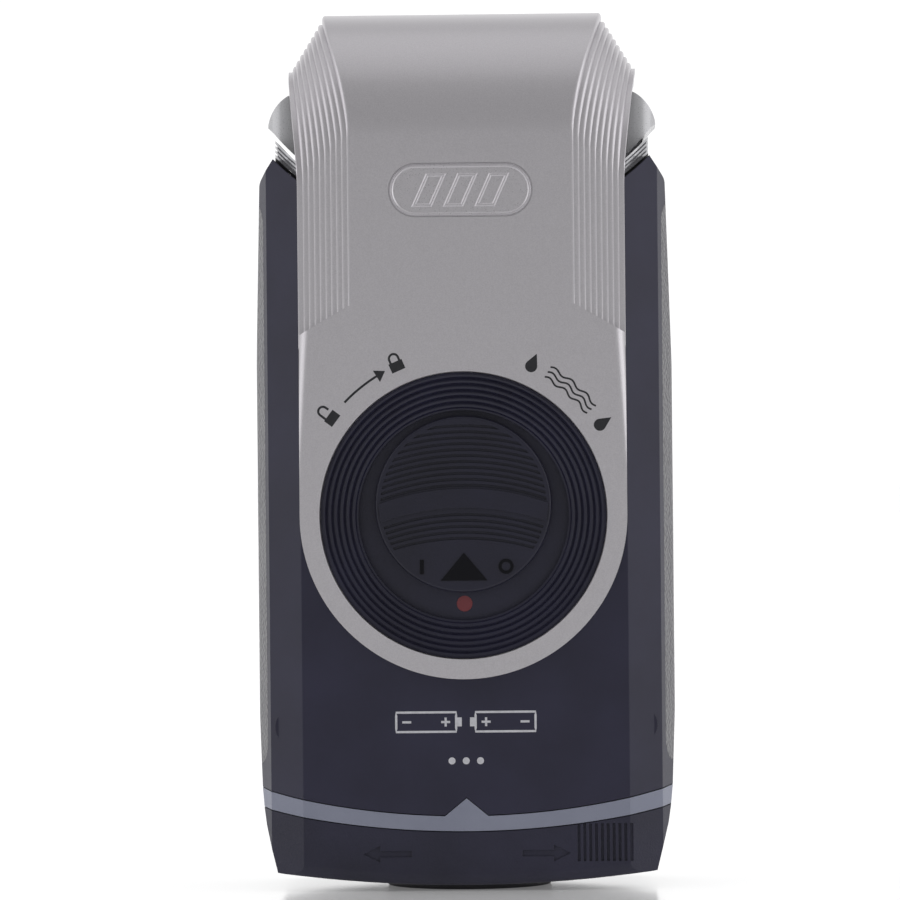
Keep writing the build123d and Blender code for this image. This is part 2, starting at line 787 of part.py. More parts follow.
frame_half_x = 12.2
with BuildPart() as motor_frame:
    add(rounded_plan(frame_half_x, mid_y - 9.2, mid_y + 9.2, 2.0, cradle_top_z, motor_top_z + 1.2))
    with BuildSketch(Plane.XY.offset(cradle_top_z - 1)):
        with Locations((0, mid_y)):
            Circle(motor_half_width + 0.1)
            Rectangle(3 * motor_half_width, 2 * (motor_half_depth + 0.1), mode=Mode.INTERSECT)
    extrude(amount=motor_top_z - cradle_top_z + 1, mode=Mode.SUBTRACT)
    with Locations((0, mid_y, motor_top_z)):
        Cylinder(3.1, 6, mode=Mode.SUBTRACT)
    # open front and back so the can shows
    with BuildSketch(Plane.XZ):
        with Locations((0, (motor_base_z + motor_top_z) / 2)):
            RectangleRounded(15.0, 12.0, 2.0)
    extrude(amount=tall / 2, both=True, mode=Mode.SUBTRACT)
    # feet that the drive leaves are clamped to
    for sign in (-1, 1):
        with Locations((sign * (frame_half_x + 1.4), mid_y, 72.0)):
            Box(3.2, 7.0, 3.0)
        with Locations((sign * (bridge_half_length + 0.25), mid_y, 72.0)):
            Box(0.34, 6.04, 3.4, mode=Mode.SUBTRACT)
    with BuildSketch(Plane.XY.offset(motor_top_z + 2)):
        with Locations((-6.0, mid_y), (6.0, mid_y)):
            Circle(0.85)
    extrude(amount=-3, mode=Mode.SUBTRACT)
save(motor_frame.part, "motor_frame")

with BuildPart() as motor_screws:
    with BuildSketch(Plane.XY.offset(motor_top_z + 1.2)):
        with Locations((-6.0, mid_y), (6.0, mid_y)):
            Circle(1.5)
    extrude(amount=0.9)
    with BuildSketch(Plane.XY.offset(motor_top_z + 1.2)):
        with Locations((-6.0, mid_y), (6.0, mid_y)):
            Circle(0.8)
    extrude(amount=-1.9)
    with BuildSketch(Plane.XY.offset(motor_top_z + 2.1)):
        with Locations((-6.0, mid_y), (6.0, mid_y)):
            Rectangle(1.9, 0.4)
    extrude(amount=-0.5, mode=Mode.SUBTRACT)
save(motor_screws.part, "motor_screws")

# ---------------------------------------------------------------- drive bridge
seal_top_z = 90.4
carrier_low_z = 99.7
with BuildPart() as drive_bridge:
    add(rounded_plan(bridge_half_length, mid_y - 3.5, mid_y + 3.5, 1.2, bridge_z, bridge_z + bridge_height))
    with Locations((0, mid_y, bridge_z)):
        Cylinder(
            pin_radius + 2 * throw + 0.2,
            bridge_height - 0.7,
            align=(Align.CENTER, Align.CENTER, Align.MIN),
            mode=Mode.SUBTRACT,
        )
save(drive_bridge.part, "drive_bridge")

with BuildPart() as drive_pin:
    with Locations((0, mid_y, bridge_z + bridge_height)):
        Cylinder(
            drive_pin_radius,
            carrier_low_z - 1.6 - bridge_z - bridge_height,
            align=(Align.CENTER, Align.CENTER, Align.MIN),
        )
    with Locations((0, mid_y, seal_top_z + 0.4)):
        Cylinder(2.8, 0.6, align=(Align.CENTER, Align.CENTER, Align.MIN))
save(drive_pin.part, "drive_pin")

with BuildPart() as drive_leaves:
    for sign in (-1, 1):
        with Locations((sign * (bridge_half_length + 0.25), mid_y, 70.6)):
            Box(0.3, 6.0, bridge_z + bridge_height - 70.6, align=(Align.CENTER, Align.CENTER, Align.MIN))
save(drive_leaves.part, "drive_leaves")

# ---------------------------------------------------------------- head collar
skirt_radius = saddle_radius + 1.9
skirt_half_width = shoulder_half_width - wall - 0.2
skirt_front = inner_front + 0.15
skirt_rear = inner_rear - rear_taper - 0.2
post_inner = frame_half_length + 0.5
post_outer = post_inner + 0.8
post_half_depth = 3.5
spring_seat_z = 102.4       # height of the release springs
foot_y = 7.0                # guide feet of the release buttons, from the middle
leg_x = 8.0                 # snap legs of the foil frame
leg_y = 7.6
seal_ring_radius = 4.2


def grooved_rim(radius):
    """A shallow ring that cuts a fine groove round the collar's edge."""
    core = rounded_plan(collar_half_width - 0.3, collar_front + 0.3, collar_rear - 0.3, 5.2, 60, 110)
    with BuildPart() as ring:
        extrude(saddle_ring(radius + 0.09, radius - 0.09), amount=tall, both=True)
        add(core, mode=Mode.SUBTRACT)
    return ring.part


collar_plan = rounded_plan(collar_half_width, collar_front, collar_rear, 5.5, 60, 110)
collar_strip = saddle_ring(collar_bottom_radius, collar_top_radius)
with BuildPart() as collar_skirt:
    add(rounded_plan(skirt_half_width, skirt_front, skirt_rear, 4.0, 60, 110))
    extrude(
        saddle_ring(skirt_radius, collar_bottom_radius - 0.2), amount=tall, both=True,
        mode=Mode.INTERSECT,
    )
    add(
        rounded_plan(skirt_half_width - 1.2, skirt_front + 1.2, skirt_rear - 1.2, 2.8, 60, 110),
        mode=Mode.SUBTRACT,
    )

with BuildPart() as head_collar:
    add(collar_plan)
    extrude(collar_strip, amount=tall, both=True, mode=Mode.INTERSECT)
    add(collar_skirt.part)
    for groove_radius in (collar_top_radius + 0.35, collar_top_radius + 0.75, collar_top_radius + 1.15):
        add(grooved_rim(groove_radius), mode=Mode.SUBTRACT)
    for sign in (-1, 1):
        with Locations((sign * (post_inner + post_outer) / 2, mid_y, (95.0 + spring_seat_z + 1.8) / 2)):
            Box(post_outer - post_inner, 2 * post_half_depth, spring_seat_z + 1.8 - 95.0)
        # slots for the release buttons' feet
        with Locations((sign * 21.2, mid_y - foot_y, 95), (sign * 21.2, mid_y + foot_y, 95)):
            Box(3.6, 1.8, 20, mode=Mode.SUBTRACT)
        # slots for the foil frame's snap legs
        with Locations((sign * leg_x, mid_y - leg_y, 88), (sign * leg_x, mid_y + leg_y, 88)):
            Box(4.8, 1.8, 12, mode=Mode.SUBTRACT)
    with Locations((0, mid_y, 88)):
        Cylinder(seal_ring_radius, 20, mode=Mode.SUBTRACT)
save(head_collar.part, "head_collar")

with BuildPart() as collar_gasket:
    add(rounded_plan(collar_half_width, collar_front, collar_rear, 5.5, 60, 110))
    extrude(
        saddle_ring(saddle_radius - 0.02, collar_bottom_radius + 0.02), amount=tall, both=True,
        mode=Mode.INTERSECT,
    )
    add(
        rounded_plan(skirt_half_width + 0.04, skirt_front - 0.04, skirt_rear + 0.04, 4.0, 60, 110),
        mode=Mode.SUBTRACT,
    )
    for sign in (-1, 1):
        with Locations((sign * 21.2, mid_y - foot_y, 95), (sign * 21.2, mid_y + foot_y, 95)):
            Box(3.6, 1.8, 20, mode=Mode.SUBTRACT)
save(collar_gasket.part, "collar_gasket")

with BuildPart() as drive_seal:
    with BuildSketch(Plane.XY.offset(saddle_z - collar_bottom_radius)):
        with Locations((0, mid_y)):
            Circle(seal_ring_radius - 0.02)
    extrude(amount=seal_top_z - saddle_z + collar_bottom_radius)
    with BuildSketch(Plane.XY.offset(seal_top_z - 0.5)):
        with Locations((0, mid_y)):
            Circle(seal_ring_radius + 1.0)
    extrude(amount=0.5)
    with Locations((0, mid_y, 88)):
        Cylinder(drive_pin_radius + throw + moving_gap, 20, mode=Mode.SUBTRACT)
save(drive_seal.part, "drive_seal")

# ---------------------------------------------------------------- foil cassette
arch_inner = foil_half_length - 1.2
opening_half = foil_half_length + 0.05
opening_depth = foil_radius + 0.05
arch_radius = foil_radius - foil_thickness - 0.03
spring_x = (opening_half + frame_half_length) / 2
foil_spring_top = 101.0
leg_low_z = 87.3
with BuildPart() as foil_frame:
    add(
        rounded_plan(
            frame_half_length, mid_y - frame_half_depth, mid_y + frame_half_depth, 2.0, 80, frame_top_z
        )
    )
    with BuildSketch(Plane.XZ):
        with Locations((0, saddle_z)):
            Circle(ear_bottom_radius - 1.1)
    extrude(amount=tall, both=True, mode=Mode.INTERSECT)
    chamfer(foil_frame.edges().group_by(Axis.Z)[-1], length=0.5)
    with Locations((0, mid_y, 95)):
        Box(2 * opening_half, 2 * opening_depth, 40, mode=Mode.SUBTRACT)
    for sign in (-1, 1):
        with BuildSketch(Plane.YZ.offset(sign * arch_inner)):
            with Locations((mid_y, foil_axis_z)):
                Circle(arch_radius)
            with Locations((mid_y, (97.5 + foil_axis_z) / 2)):
                Rectangle(2 * arch_radius, foil_axis_z - 97.5)
            with Locations((mid_y, 90.0)):
                Rectangle(30, 15, mode=Mode.SUBTRACT)
        extrude(amount=sign * (foil_half_length - arch_inner))
        with Locations((sign * foil_half_length, mid_y, 98.7)):
            Box(1.6, 2 * arch_radius, 2.4)
        with BuildSketch(Plane.XY.offset(foil_spring_top)):
            with Locations((sign * spring_x, mid_y)):
                Circle(1.1)
        extrude(amount=-30, mode=Mode.SUBTRACT)
        with Locations((sign * leg_x, mid_y - leg_y, leg_low_z), (sign * leg_x, mid_y + leg_y, leg_low_z)):
            Box(4.0, 1.1, 7.0, align=(Align.CENTER, Align.CENTER, Align.MIN))
save(foil_frame.part, "foil_frame")

with BuildPart() as foil:
    with BuildSketch(Plane.YZ):
        with Locations((mid_y, foil_axis_z)):
            Circle(foil_radius)
        with Locations((mid_y, foil_axis_z - foil_radius)):
            Rectangle(3 * foil_radius, 2 * foil_radius, mode=Mode.SUBTRACT)
        with Locations((mid_y, foil_axis_z - 1.5)):
            Rectangle(2 * foil_radius, 3.0)
        with Locations((mid_y, foil_axis_z)):
            Circle(foil_radius - foil_thickness, mode=Mode.SUBTRACT)
        with Locations((mid_y, foil_axis_z - 2.0)):
            Rectangle(2 * (foil_radius - foil_thickness), 4.0, mode=Mode.SUBTRACT)
    extrude(amount=foil_half_length, both=True)
save(foil.part, "foil")

collar_at_spring = arc_height(collar_top_radius, saddle_z, spring_x)
foil_spring_low = collar_at_spring + 0.7
with BuildPart() as foil_springs:
    with Locations((-spring_x, mid_y, foil_spring_low), (spring_x, mid_y, foil_spring_low)):
        add(coil(0.75, 0.14, foil_spring_top - 0.02 - foil_spring_low, 8))
save(foil_springs.part, "foil_springs")

# ---------------------------------------------------------------- cutter
carrier_half_length = 14.1
carrier_top_z = carrier_low_z + 1.5
carrier_depth = 2 * (foil_radius - 0.7)     # clears the frame's opening
with BuildPart() as cutter_carrier:
    with Locations((0, mid_y, carrier_low_z)):
        Box(2 * carrier_half_length, carrier_depth, 1.5, align=(Align.CENTER, Align.CENTER, Align.MIN))
    fillet(cutter_carrier.edges().filter_by(Axis.Z), radius=1.0)
    with Locations((0, mid_y, carrier_low_z)):
        Cylinder(2.9, 4.2, align=(Align.CENTER, Align.CENTER, Align.MAX))
    with Locations((0, mid_y, carrier_low_z + 0.2)):
        Cylinder(
            drive_pin_radius + 0.06, 10, align=(Align.CENTER, Align.CENTER, Align.MAX), mode=Mode.SUBTRACT
        )
save(cutter_carrier.part, "cutter_carrier")

blade_radius = foil_radius - foil_thickness - 0.08
blade_stem_half = blade_radius - 0.62
blade_rim = 1.62
blade_planes = [
    Plane.YZ.offset((index - (blade_count - 1) / 2) * blade_pitch - blade_thickness / 2)
    for index in range(blade_count)
]
with BuildPart() as cutter_blades:
    with BuildSketch(*blade_planes):
        with Locations((mid_y, foil_axis_z)):
            Circle(blade_radius)
        with Locations((mid_y, foil_axis_z - blade_radius)):
            Rectangle(3 * blade_radius, 2 * blade_radius, mode=Mode.SUBTRACT)
        with Locations((mid_y, (foil_axis_z + carrier_top_z) / 2)):
            Rectangle(2 * blade_stem_half, foil_axis_z - carrier_top_z)
        with Locations((mid_y, foil_axis_z - 0.5)):
            Circle(blade_radius - blade_rim, mode=Mode.SUBTRACT)
    extrude(amount=blade_thickness)
save(cutter_blades.part, "cutter_blades")

with BuildPart() as cutter_spring:
    spring_low = seal_top_z + 1.02
    with Locations((0, mid_y, spring_low)):
        add(coil(2.1, 0.25, carrier_low_z - 4.22 - spring_low, 3))
save(cutter_spring.part, "cutter_spring")

# ---------------------------------------------------------------- release buttons
ear_low_x = 25.6
ear_edge = (26.1, 102.5)        # widest point, then the shoulder, the turn and the crown above it
ear_shoulder = (26.05, 103.0)
ear_turn = (25.0, 105.2)
ear_crown = (23.3, 106.7)
ear_top_z = 107.6
for side, sign in (("left", -1), ("right", 1)):
    with BuildPart() as release_button:
        with BuildSketch(facing_front(mid_y + ear_half_depth)):
            low_inner = arc_height(ear_bottom_radius, saddle_z, ear_inner)
            low_outer = arc_height(ear_bottom_radius, saddle_z, ear_low_x)
            with BuildLine():
                ThreePointArc(
                    (sign * ear_inner, low_inner),
                    (sign * 23.4, arc_height(ear_bottom_radius, saddle_z, 23.4)),
                    (sign * ear_low_x, low_outer),
                )
                edge, shoulder, turn, crown = (
                    (sign * x, z) for x, z in (ear_edge, ear_shoulder, ear_turn, ear_crown)
                )
                Polyline((sign * ear_low_x, low_outer), edge, shoulder)
                ThreePointArc(shoulder, turn, crown)
                Polyline(crown, (sign * ear_inner, ear_top_z), (sign * ear_inner, low_inner))
            make_face()
        extrude(amount=2 * ear_half_depth)
        add(
            rounded_plan(26.2, mid_y - ear_half_depth, mid_y + ear_half_depth, 3.0, 80, 120),
            mode=Mode.INTERSECT,
        )
        with Locations((sign * 22.2, mid_y, 97.4)):
            Box(4.4, 11.6, 16.0, mode=Mode.SUBTRACT)
        with Locations((sign * 21.65, mid_y - foot_y, 94.6), (sign * 21.65, mid_y + foot_y, 94.6)):
            Box(1.5, 1.2, 5.0, align=(Align.CENTER, Align.CENTER, Align.MIN))
    save(release_button.part, f"release_button_{side}")
    with BuildPart() as release_spring:
        start_x = sign * (post_outer + 0.02)
        with Locations(Location((start_x, mid_y, spring_seat_z), (0, sign * 90, 0))):
            add(coil(1.2, 0.18, 24.38 - post_outer - 0.02, 4))
    save(release_spring.part, f"release_spring_{side}")

# ---------------------------------------------------------------- dial bezel
ridge_pitch = (dial_radius - well_radius) / (ridge_count + 0.3)
flange_back = front_plane + hood_back_gap + ledge_thickness + 0.15
rim_front = hood_front - 0.3
dish = 0.75
with BuildPart() as dial_bezel:
    with BuildSketch(Plane.YZ):
        with BuildLine():
            points = [
                (-front_plane, pivot_z),
                (-front_plane, pivot_z + hub_radius),
                (-flange_back, pivot_z + hub_radius),
                (-flange_back, pivot_z + dial_radius),
                (-rim_front + 0.25, pivot_z + dial_radius),
            ]
            for index in range(ridge_count):
                radius = dial_radius - (index + 0.45) * ridge_pitch
                lift = rim_front - dish * (dial_radius - radius) / (dial_radius - well_radius)
                points.append((-lift, pivot_z + radius))
                points.append((-lift + 0.05, pivot_z + radius - 0.3 * ridge_pitch))
                points.append((-lift + 0.38, pivot_z + radius - 0.55 * ridge_pitch))
            points.append((-rim_front + dish + 0.3, pivot_z + well_radius))
            points.append((-front_plane - bezel_floor, pivot_z + well_radius))
            points.append((-front_plane - bezel_floor, pivot_z))
            Polyline(*points, close=True)
        make_face()
    revolve(axis=Axis((0, 0, pivot_z), (0, 1, 0)), revolution_arc=360)
    # bosses that pass through the front wall
    with BuildSketch(facing_front(inner_front - 0.3)):
        with Locations((0, pivot_z)):
            with PolarLocations(boss_hole_radius, 3, start_angle=30):
                Circle(bezel_boss_radius)
    extrude(amount=wall - 0.1)
    with BuildSketch(facing_front(inner_front)):
        with Locations((0, pivot_z)):
            with PolarLocations(boss_hole_radius, 3, start_angle=30):
                Circle(0.8)
    extrude(amount=wall + 0.2, mode=Mode.SUBTRACT)
    with BuildSketch(Plane.XZ):
        with Locations((0, slot_z)):
            Rectangle(stem_width + 2 * moving_gap, slot_height)
    extrude(amount=tall, mode=Mode.SUBTRACT)
    with BuildSketch(facing_front(-front_plane - bezel_floor + 0.35)):
        with Locations((0, pivot_z - dot_drop)):
            Circle(dot_radius + 0.02)
    extrude(amount=3, mode=Mode.SUBTRACT)
save(dial_bezel.part, "dial_bezel")

with BuildPart() as dial_dot:
    with BuildSketch(facing_front(-front_plane - bezel_floor + 0.33)):
        with Locations((0, pivot_z - dot_drop)):
            Circle(dot_radius)
    extrude(amount=0.33)
save(dial_dot.part, "dial_dot")

with BuildPart() as dial_screws:
    with BuildSketch(facing_front(inner_front + 1.0)):
        with Locations((0, pivot_z)):
            with PolarLocations(boss_hole_radius, 3, start_angle=30):
                Circle(2.3)
    extrude(amount=0.98)
    with BuildSketch(facing_front(inner_front + 0.4)):
        with Locations((0, pivot_z)):
            with PolarLocations(boss_hole_radius, 3, start_angle=30):
                Circle(0.78)
    extrude(amount=wall + 0.4)
    with BuildSketch(facing_front(inner_front + 1.0)):
        with Locations((0, pivot_z)):
            with PolarLocations(boss_hole_radius, 3, start_angle=30):
                Rectangle(2.6, 0.5)
                Rectangle(0.5, 2.6)
    extrude(amount=0.5, mode=Mode.SUBTRACT)
save(dial_screws.part, "dial_screws")

# ---------------------------------------------------------------- power switch
button_back = front_plane + bezel_floor + 0.15
button_front = 14.9
rib_pitch = 0.79
rib_count = 11
lower_rib_count = 5
upper_rib_z = button_z + 2.55
lower_rib_z = button_z - 4.5
ridge_low_z = button_z - 0.45
ridge_high_z = button_z + 2.1


def arc_groove(z, width, depth):
    """A curved groove across the switch button, highest in the middle."""
    with BuildPart() as groove:
        with BuildSketch(facing_front(-button_front + depth)):
            with Locations((0, z - rib_radius)):
                Circle(rib_radius + width / 2)
                Circle(rib_radius - width / 2, mode=Mode.SUBTRACT)
            with Locations((0, button_z)):
                Circle(button_radius - 0.7, mode=Mode.INTERSECT)
        extrude(amount=3)
    return groove.part


with BuildPart() as switch_button:
    with BuildSketch(facing_front(-button_back)):
        with Locations((0, button_z)):
            Circle(button_radius)
    extrude(amount=button_front - button_back)
    fillet(switch_button.edges().group_by(Axis.Y)[0], radius=0.35)
    with BuildSketch(facing_front(-button_front + 0.2)):
        with Locations((0, ridge_high_z - rib_radius)):
            Circle(rib_radius)
        with Locations((0, ridge_low_z - rib_radius)):
            Circle(rib_radius, mode=Mode.SUBTRACT)
        with Locations((0, button_z)):
            Circle(button_radius - 0.5, mode=Mode.INTERSECT)
    extrude(amount=0.55)
    for index in range(rib_count):
        add(arc_groove(upper_rib_z + index * rib_pitch, 0.36, 0.3), mode=Mode.SUBTRACT)
    for index in range(lower_rib_count):
        add(arc_groove(lower_rib_z + index * rib_pitch, 0.36, 0.3), mode=Mode.SUBTRACT)
    with BuildSketch(facing_front(inner_front + 1.3)):
        with Locations((0, button_z)):
            Rectangle(stem_width, stem_height)
    extrude(amount=button_back + inner_front + 1.4)
save(switch_button.part, "switch_button")

mark_z = button_z - 8.3
with BuildPart() as switch_marks:
    with BuildSketch(facing_front(-button_front - 0.01)):
        with BuildLine():
            Polyline((-3.1, mark_z - 1.85), (3.1, mark_z - 1.85), (0, mark_z + 1.85), close=True)
        make_face()
        with Locations((-5.6, mark_z)):
            Rectangle(0.5, 1.9)
        with Locations((5.6, mark_z)):
            Circle(1.0)
            Circle(0.6, mode=Mode.SUBTRACT)
    extrude(amount=0.12)
save(switch_marks.part, "switch_marks")

carrier_half_height = 5.0
with BuildPart() as switch_carrier:
    with BuildSketch(facing_front(inner_front + 1.3)):
        with Locations((0, button_z)):
            RectangleRounded(12.0, 2 * carrier_half_height, 1.0)
            Rectangle(stem_width + 0.04, stem_height + 0.04, mode=Mode.SUBTRACT)
    extrude(amount=1.15)
save(switch_carrier.part, "switch_carrier")

with BuildPart() as switch_bridge:
    with BuildSketch(facing_front(inner_front + 1.62)):
        with Locations((0, button_z - 3.4)):
            Rectangle(10.0, 2.2)
    extrude(amount=0.3)
    with BuildSketch(facing_front(inner_front + 2.5)):
        with Locations((-4.0, button_z - 3.4), (4.0, button_z - 3.4)):
            Rectangle(1.6, 1.6)
    extrude(amount=0.9)
save(switch_bridge.part, "switch_bridge")

board_back = cell_y - cradle_half_depth - 0.02
with BuildPart() as switch_board:
    with BuildSketch(facing_front(board_back)):
        with Locations((0, 50)):
            RectangleRounded(17.0, 20.0, 1.0)
    extrude(amount=1.0)
save(switch_board.part, "switch_board")

with BuildPart() as switch_contacts:
    with BuildSketch(facing_front(board_back - 1.02)):
        with Locations((-4.0, 49.0), (4.0, 49.0)):
            Rectangle(2.2, 14.0)
    extrude(amount=0.5)
save(switch_contacts.part, "switch_contacts")

with BuildPart() as detent_spring:
    with BuildSketch(Plane.YZ):
        with BuildLine():
            spring_back = board_back - 1.04
            ThreePointArc((spring_back, 45.5), (spring_back - 1.3, 50), (spring_back, 54.5))
            Line((spring_back, 54.5), (spring_back, 54.1))
            ThreePointArc((spring_back, 54.1), (spring_back - 1.05, 50), (spring_back, 45.9))
            Line((spring_back, 45.9), (spring_back, 45.5))
        make_face()
    extrude(amount=1.2, both=True)
save(detent_spring.part, "detent_spring")

with BuildPart() as lead_strips:
    with Locations((-7.55, mid_y, cradle_top_z + 0.02), (7.55, mid_y, cradle_top_z + 0.02)):
        Box(3.6, 2.0, 0.4, align=(Align.CENTER, Align.CENTER, Align.MIN))
save(lead_strips.part, "lead_strips")


# ---------------------------------------------------------------- turning hood
def step_edge(index):
    """Half-width of a terrace on the straight part, and its tip at the hood's corner."""
    half = first_half_width + index * step_pitch
    tip_x = tip_half_width + index * tip_pitch
    tip_z = hood_top if index == 0 else hood_top - 1.2 - tip_top_drop * (index - 1)
    return half, tip_x, tip_z


def step_outline(index, low_z):
    """Front view of the hood out to the edge of one terrace."""
    half, tip_x, tip_z = step_edge(index)
    start_z = fan_start_z - fan_start_drop * index
    edge = [(half, low_z), (half, start_z)]
    for share in (0.25, 0.5, 0.75, 1.0):
        edge.append((half + (tip_x - half) * share**fan_power, start_z + (tip_z - start_z) * share))
    # carried on past the top, so that the outline covers the whole turn
    beyond = 4.0
    lean = (edge[-1][0] - edge[-2][0]) / (edge[-1][1] - edge[-2][1])
    edge.append((tip_x + lean * beyond, tip_z + beyond))
    with BuildSketch(Plane.XZ) as sketch:
        with BuildLine():
            Polyline(edge + [(-x, z) for x, z in reversed(edge)], close=True)
        make_face()
    return sketch.sketch


def hood_profile(front, top, rear, inset):
    """Side view of the hood: straight plate, a round top, and a short rear lip."""
    front_turn = front + mid_y
    rear_turn = rear - mid_y
    front_bend_z = top - front_turn
    rear_bend_z = top - rear_turn
    with BuildSketch(Plane.YZ) as sketch:
        with BuildLine():
            CenterArc((mid_y, front_bend_z), front_turn - inset, 90, 90)
            CenterArc((mid_y, rear_bend_z), rear_turn - inset, 0, 90)
            Polyline(
                (mid_y - front_turn + inset, front_bend_z), (mid_y - front_turn + inset, 20),
                (rear - inset, 20), (rear - inset, rear_bend_z),
            )
        make_face()
    return sketch.sketch


def terrace(index):
    """One terrace of the hood's shell, both sides."""
    half, tip_x, tip_z = step_edge(index)
    front = hood_front - step_drop * index
    low_z = step_start_z - 6 - step_start_drop * index
    with BuildPart() as piece:
        extrude(hood_profile(front, tip_z, hood_rear, 0), amount=tall, both=True)
        extrude(hood_profile(front, tip_z, hood_rear, hood_wall), amount=tall, both=True, mode=Mode.SUBTRACT)
        extrude(step_outline(index, low_z), amount=tall, both=True, mode=Mode.INTERSECT)
        if index:
            extrude(step_outline(index - 1, 0), amount=tall, both=True, mode=Mode.SUBTRACT)
    return piece.part


head_sweep = Axis((0, 0, pivot_z), (0, 1, 0))
badge_z = 93.5
with BuildPart() as hood_tongue:
    with BuildSketch(facing_front(-hood_back)):
        with BuildLine():
            side_start = step_start_z - step_start_drop * step_count
            Polyline(
                (-hood_half_width, pivot_z),
                (-hood_half_width, side_start),
                (-first_half_width, step_start_z),
                (first_half_width, step_start_z),
                (hood_half_width, side_start),
                (hood_half_width, pivot_z),
            )
            ThreePointArc(
                (hood_half_width, pivot_z), (0, pivot_z - hood_half_width), (-hood_half_width, pivot_z)
            )
        make_face()
    extrude(amount=hood_front - hood_back)
    lower_edges = hood_tongue.edges().group_by(Axis.Y)[0].filter_by(
        lambda e: e.center().Z < side_start
    )
    fillet(lower_edges, radius=hood_bevel)

with BuildPart() as twist_cap:
    add(hood_tongue.part)
    # the straight plate behind the terraces, thicker than the curved top
    with BuildSketch(facing_front(-hood_back)):
        with Locations((0, (plate_bottom_z + plate_top_z) / 2)):
            Rectangle(2 * hood_half_width, plate_top_z - plate_bottom_z)
    extrude(amount=hood_front - step_drop * step_count - 0.1 - hood_back)
    for index in range(step_count + 1):
        add(terrace(index))
    # room for the head while the hood turns
    with BuildSketch(Plane.YZ):
        with BuildLine():
            Polyline(
                (-hood_back, pivot_z),
                (-hood_back, pivot_z + sweep_front_radius),
                *[(y, pivot_z + sweep_radius - nearer) for y, nearer in sweep_steps],
                (60, pivot_z + sweep_radius),
                (60, pivot_z),
                close=True,
            )
        make_face()
    revolve(axis=head_sweep, revolution_arc=360, mode=Mode.SUBTRACT)
    # round opening for the dial, with the ledge that the bezel holds
    with BuildSketch(facing_front(-hood_back)):
        with Locations((0, pivot_z)):
            Circle(hub_radius + hub_clearance)
    extrude(amount=10, both=True, mode=Mode.SUBTRACT)
    with BuildSketch(facing_front(-hood_back - ledge_thickness)):
        with Locations((0, pivot_z)):
            Circle(dial_radius + dial_clearance)
    extrude(amount=10, mode=Mode.SUBTRACT)
    # shallow bed for the emblem
    with BuildSketch(facing_front(-hood_front + 0.4)):
        with Locations((0, badge_z)):
            SlotOverall(19.2, 7.2)
    extrude(amount=5, mode=Mode.SUBTRACT)
save(twist_cap.part, "twist_cap")

with BuildPart() as cap_badge:
    with BuildSketch(facing_front(-hood_front + 0.38)):
        with Locations((0, badge_z)):
            SlotOverall(19.0, 7.0)
    extrude(amount=0.36)
    with BuildSketch(facing_front(-hood_front + 0.2)):
        for shift in (-4.0, 0, 4.0):
            with BuildLine():
                Polyline(
                    (shift - 2.0, badge_z - 2.0), (shift, badge_z - 2.0),
                    (shift + 2.0, badge_z + 2.0), (shift, badge_z + 2.0), close=True,
                )
            make_face()
    extrude(amount=3, mode=Mode.SUBTRACT)
save(cap_badge.part, "cap_badge")
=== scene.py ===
import json
import math

import bmesh
import bpy
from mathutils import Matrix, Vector


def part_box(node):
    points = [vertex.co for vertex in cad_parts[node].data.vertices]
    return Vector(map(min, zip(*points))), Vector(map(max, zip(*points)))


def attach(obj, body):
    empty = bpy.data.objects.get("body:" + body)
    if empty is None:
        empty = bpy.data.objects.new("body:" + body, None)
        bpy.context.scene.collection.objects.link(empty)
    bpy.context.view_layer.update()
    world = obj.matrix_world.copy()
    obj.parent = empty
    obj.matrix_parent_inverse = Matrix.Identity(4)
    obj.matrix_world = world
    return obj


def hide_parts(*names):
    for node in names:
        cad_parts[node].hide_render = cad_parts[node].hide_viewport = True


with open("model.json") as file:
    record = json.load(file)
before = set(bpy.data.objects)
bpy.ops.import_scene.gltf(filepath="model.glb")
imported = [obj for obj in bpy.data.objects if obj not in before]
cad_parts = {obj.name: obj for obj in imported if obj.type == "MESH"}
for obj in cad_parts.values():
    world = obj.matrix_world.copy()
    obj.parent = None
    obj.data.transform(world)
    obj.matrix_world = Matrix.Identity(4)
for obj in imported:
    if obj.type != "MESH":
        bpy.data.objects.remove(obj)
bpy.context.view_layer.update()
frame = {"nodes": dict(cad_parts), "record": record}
nodes = frame["nodes"]
record = frame["record"]
print("frame loaded:", len(nodes), "nodes")


def startMaterial(name):
    material = bpy.data.materials.new(name)
    material.use_nodes = True
    tree = material.node_tree
    tree.nodes.clear()
    out = tree.nodes.new("ShaderNodeOutputMaterial")
    shader = tree.nodes.new("ShaderNodeBsdfPrincipled")
    tree.links.new(shader.outputs["BSDF"], out.inputs["Surface"])
    place = tree.nodes.new("ShaderNodeTexCoord")
    return material, tree, shader, place.outputs["Object"]


def noise(tree, place, scale, detail=3.0, stretch=None):
    source = place
    if stretch:
        mapping = tree.nodes.new("ShaderNodeMapping")
        mapping.inputs["Scale"].default_value = stretch
        tree.links.new(place, mapping.inputs["Vector"])
        source = mapping.outputs["Vector"]
    texture = tree.nodes.new("ShaderNodeTexNoise")
    texture.inputs["Scale"].default_value = scale
    texture.inputs["Detail"].default_value = detail
    tree.links.new(source, texture.inputs["Vector"])
    return texture.outputs["Fac"]


def blendColours(tree, factor, dark, light, low=0.35, high=0.65):
    ramp = tree.nodes.new("ShaderNodeValToRGB")
    ramp.color_ramp.elements[0].position = low
    ramp.color_ramp.elements[0].color = (*dark, 1)
    ramp.color_ramp.elements[1].position = high
    ramp.color_ramp.elements[1].color = (*light, 1)
    tree.links.new(factor, ramp.inputs["Fac"])
    return ramp.outputs["Color"]


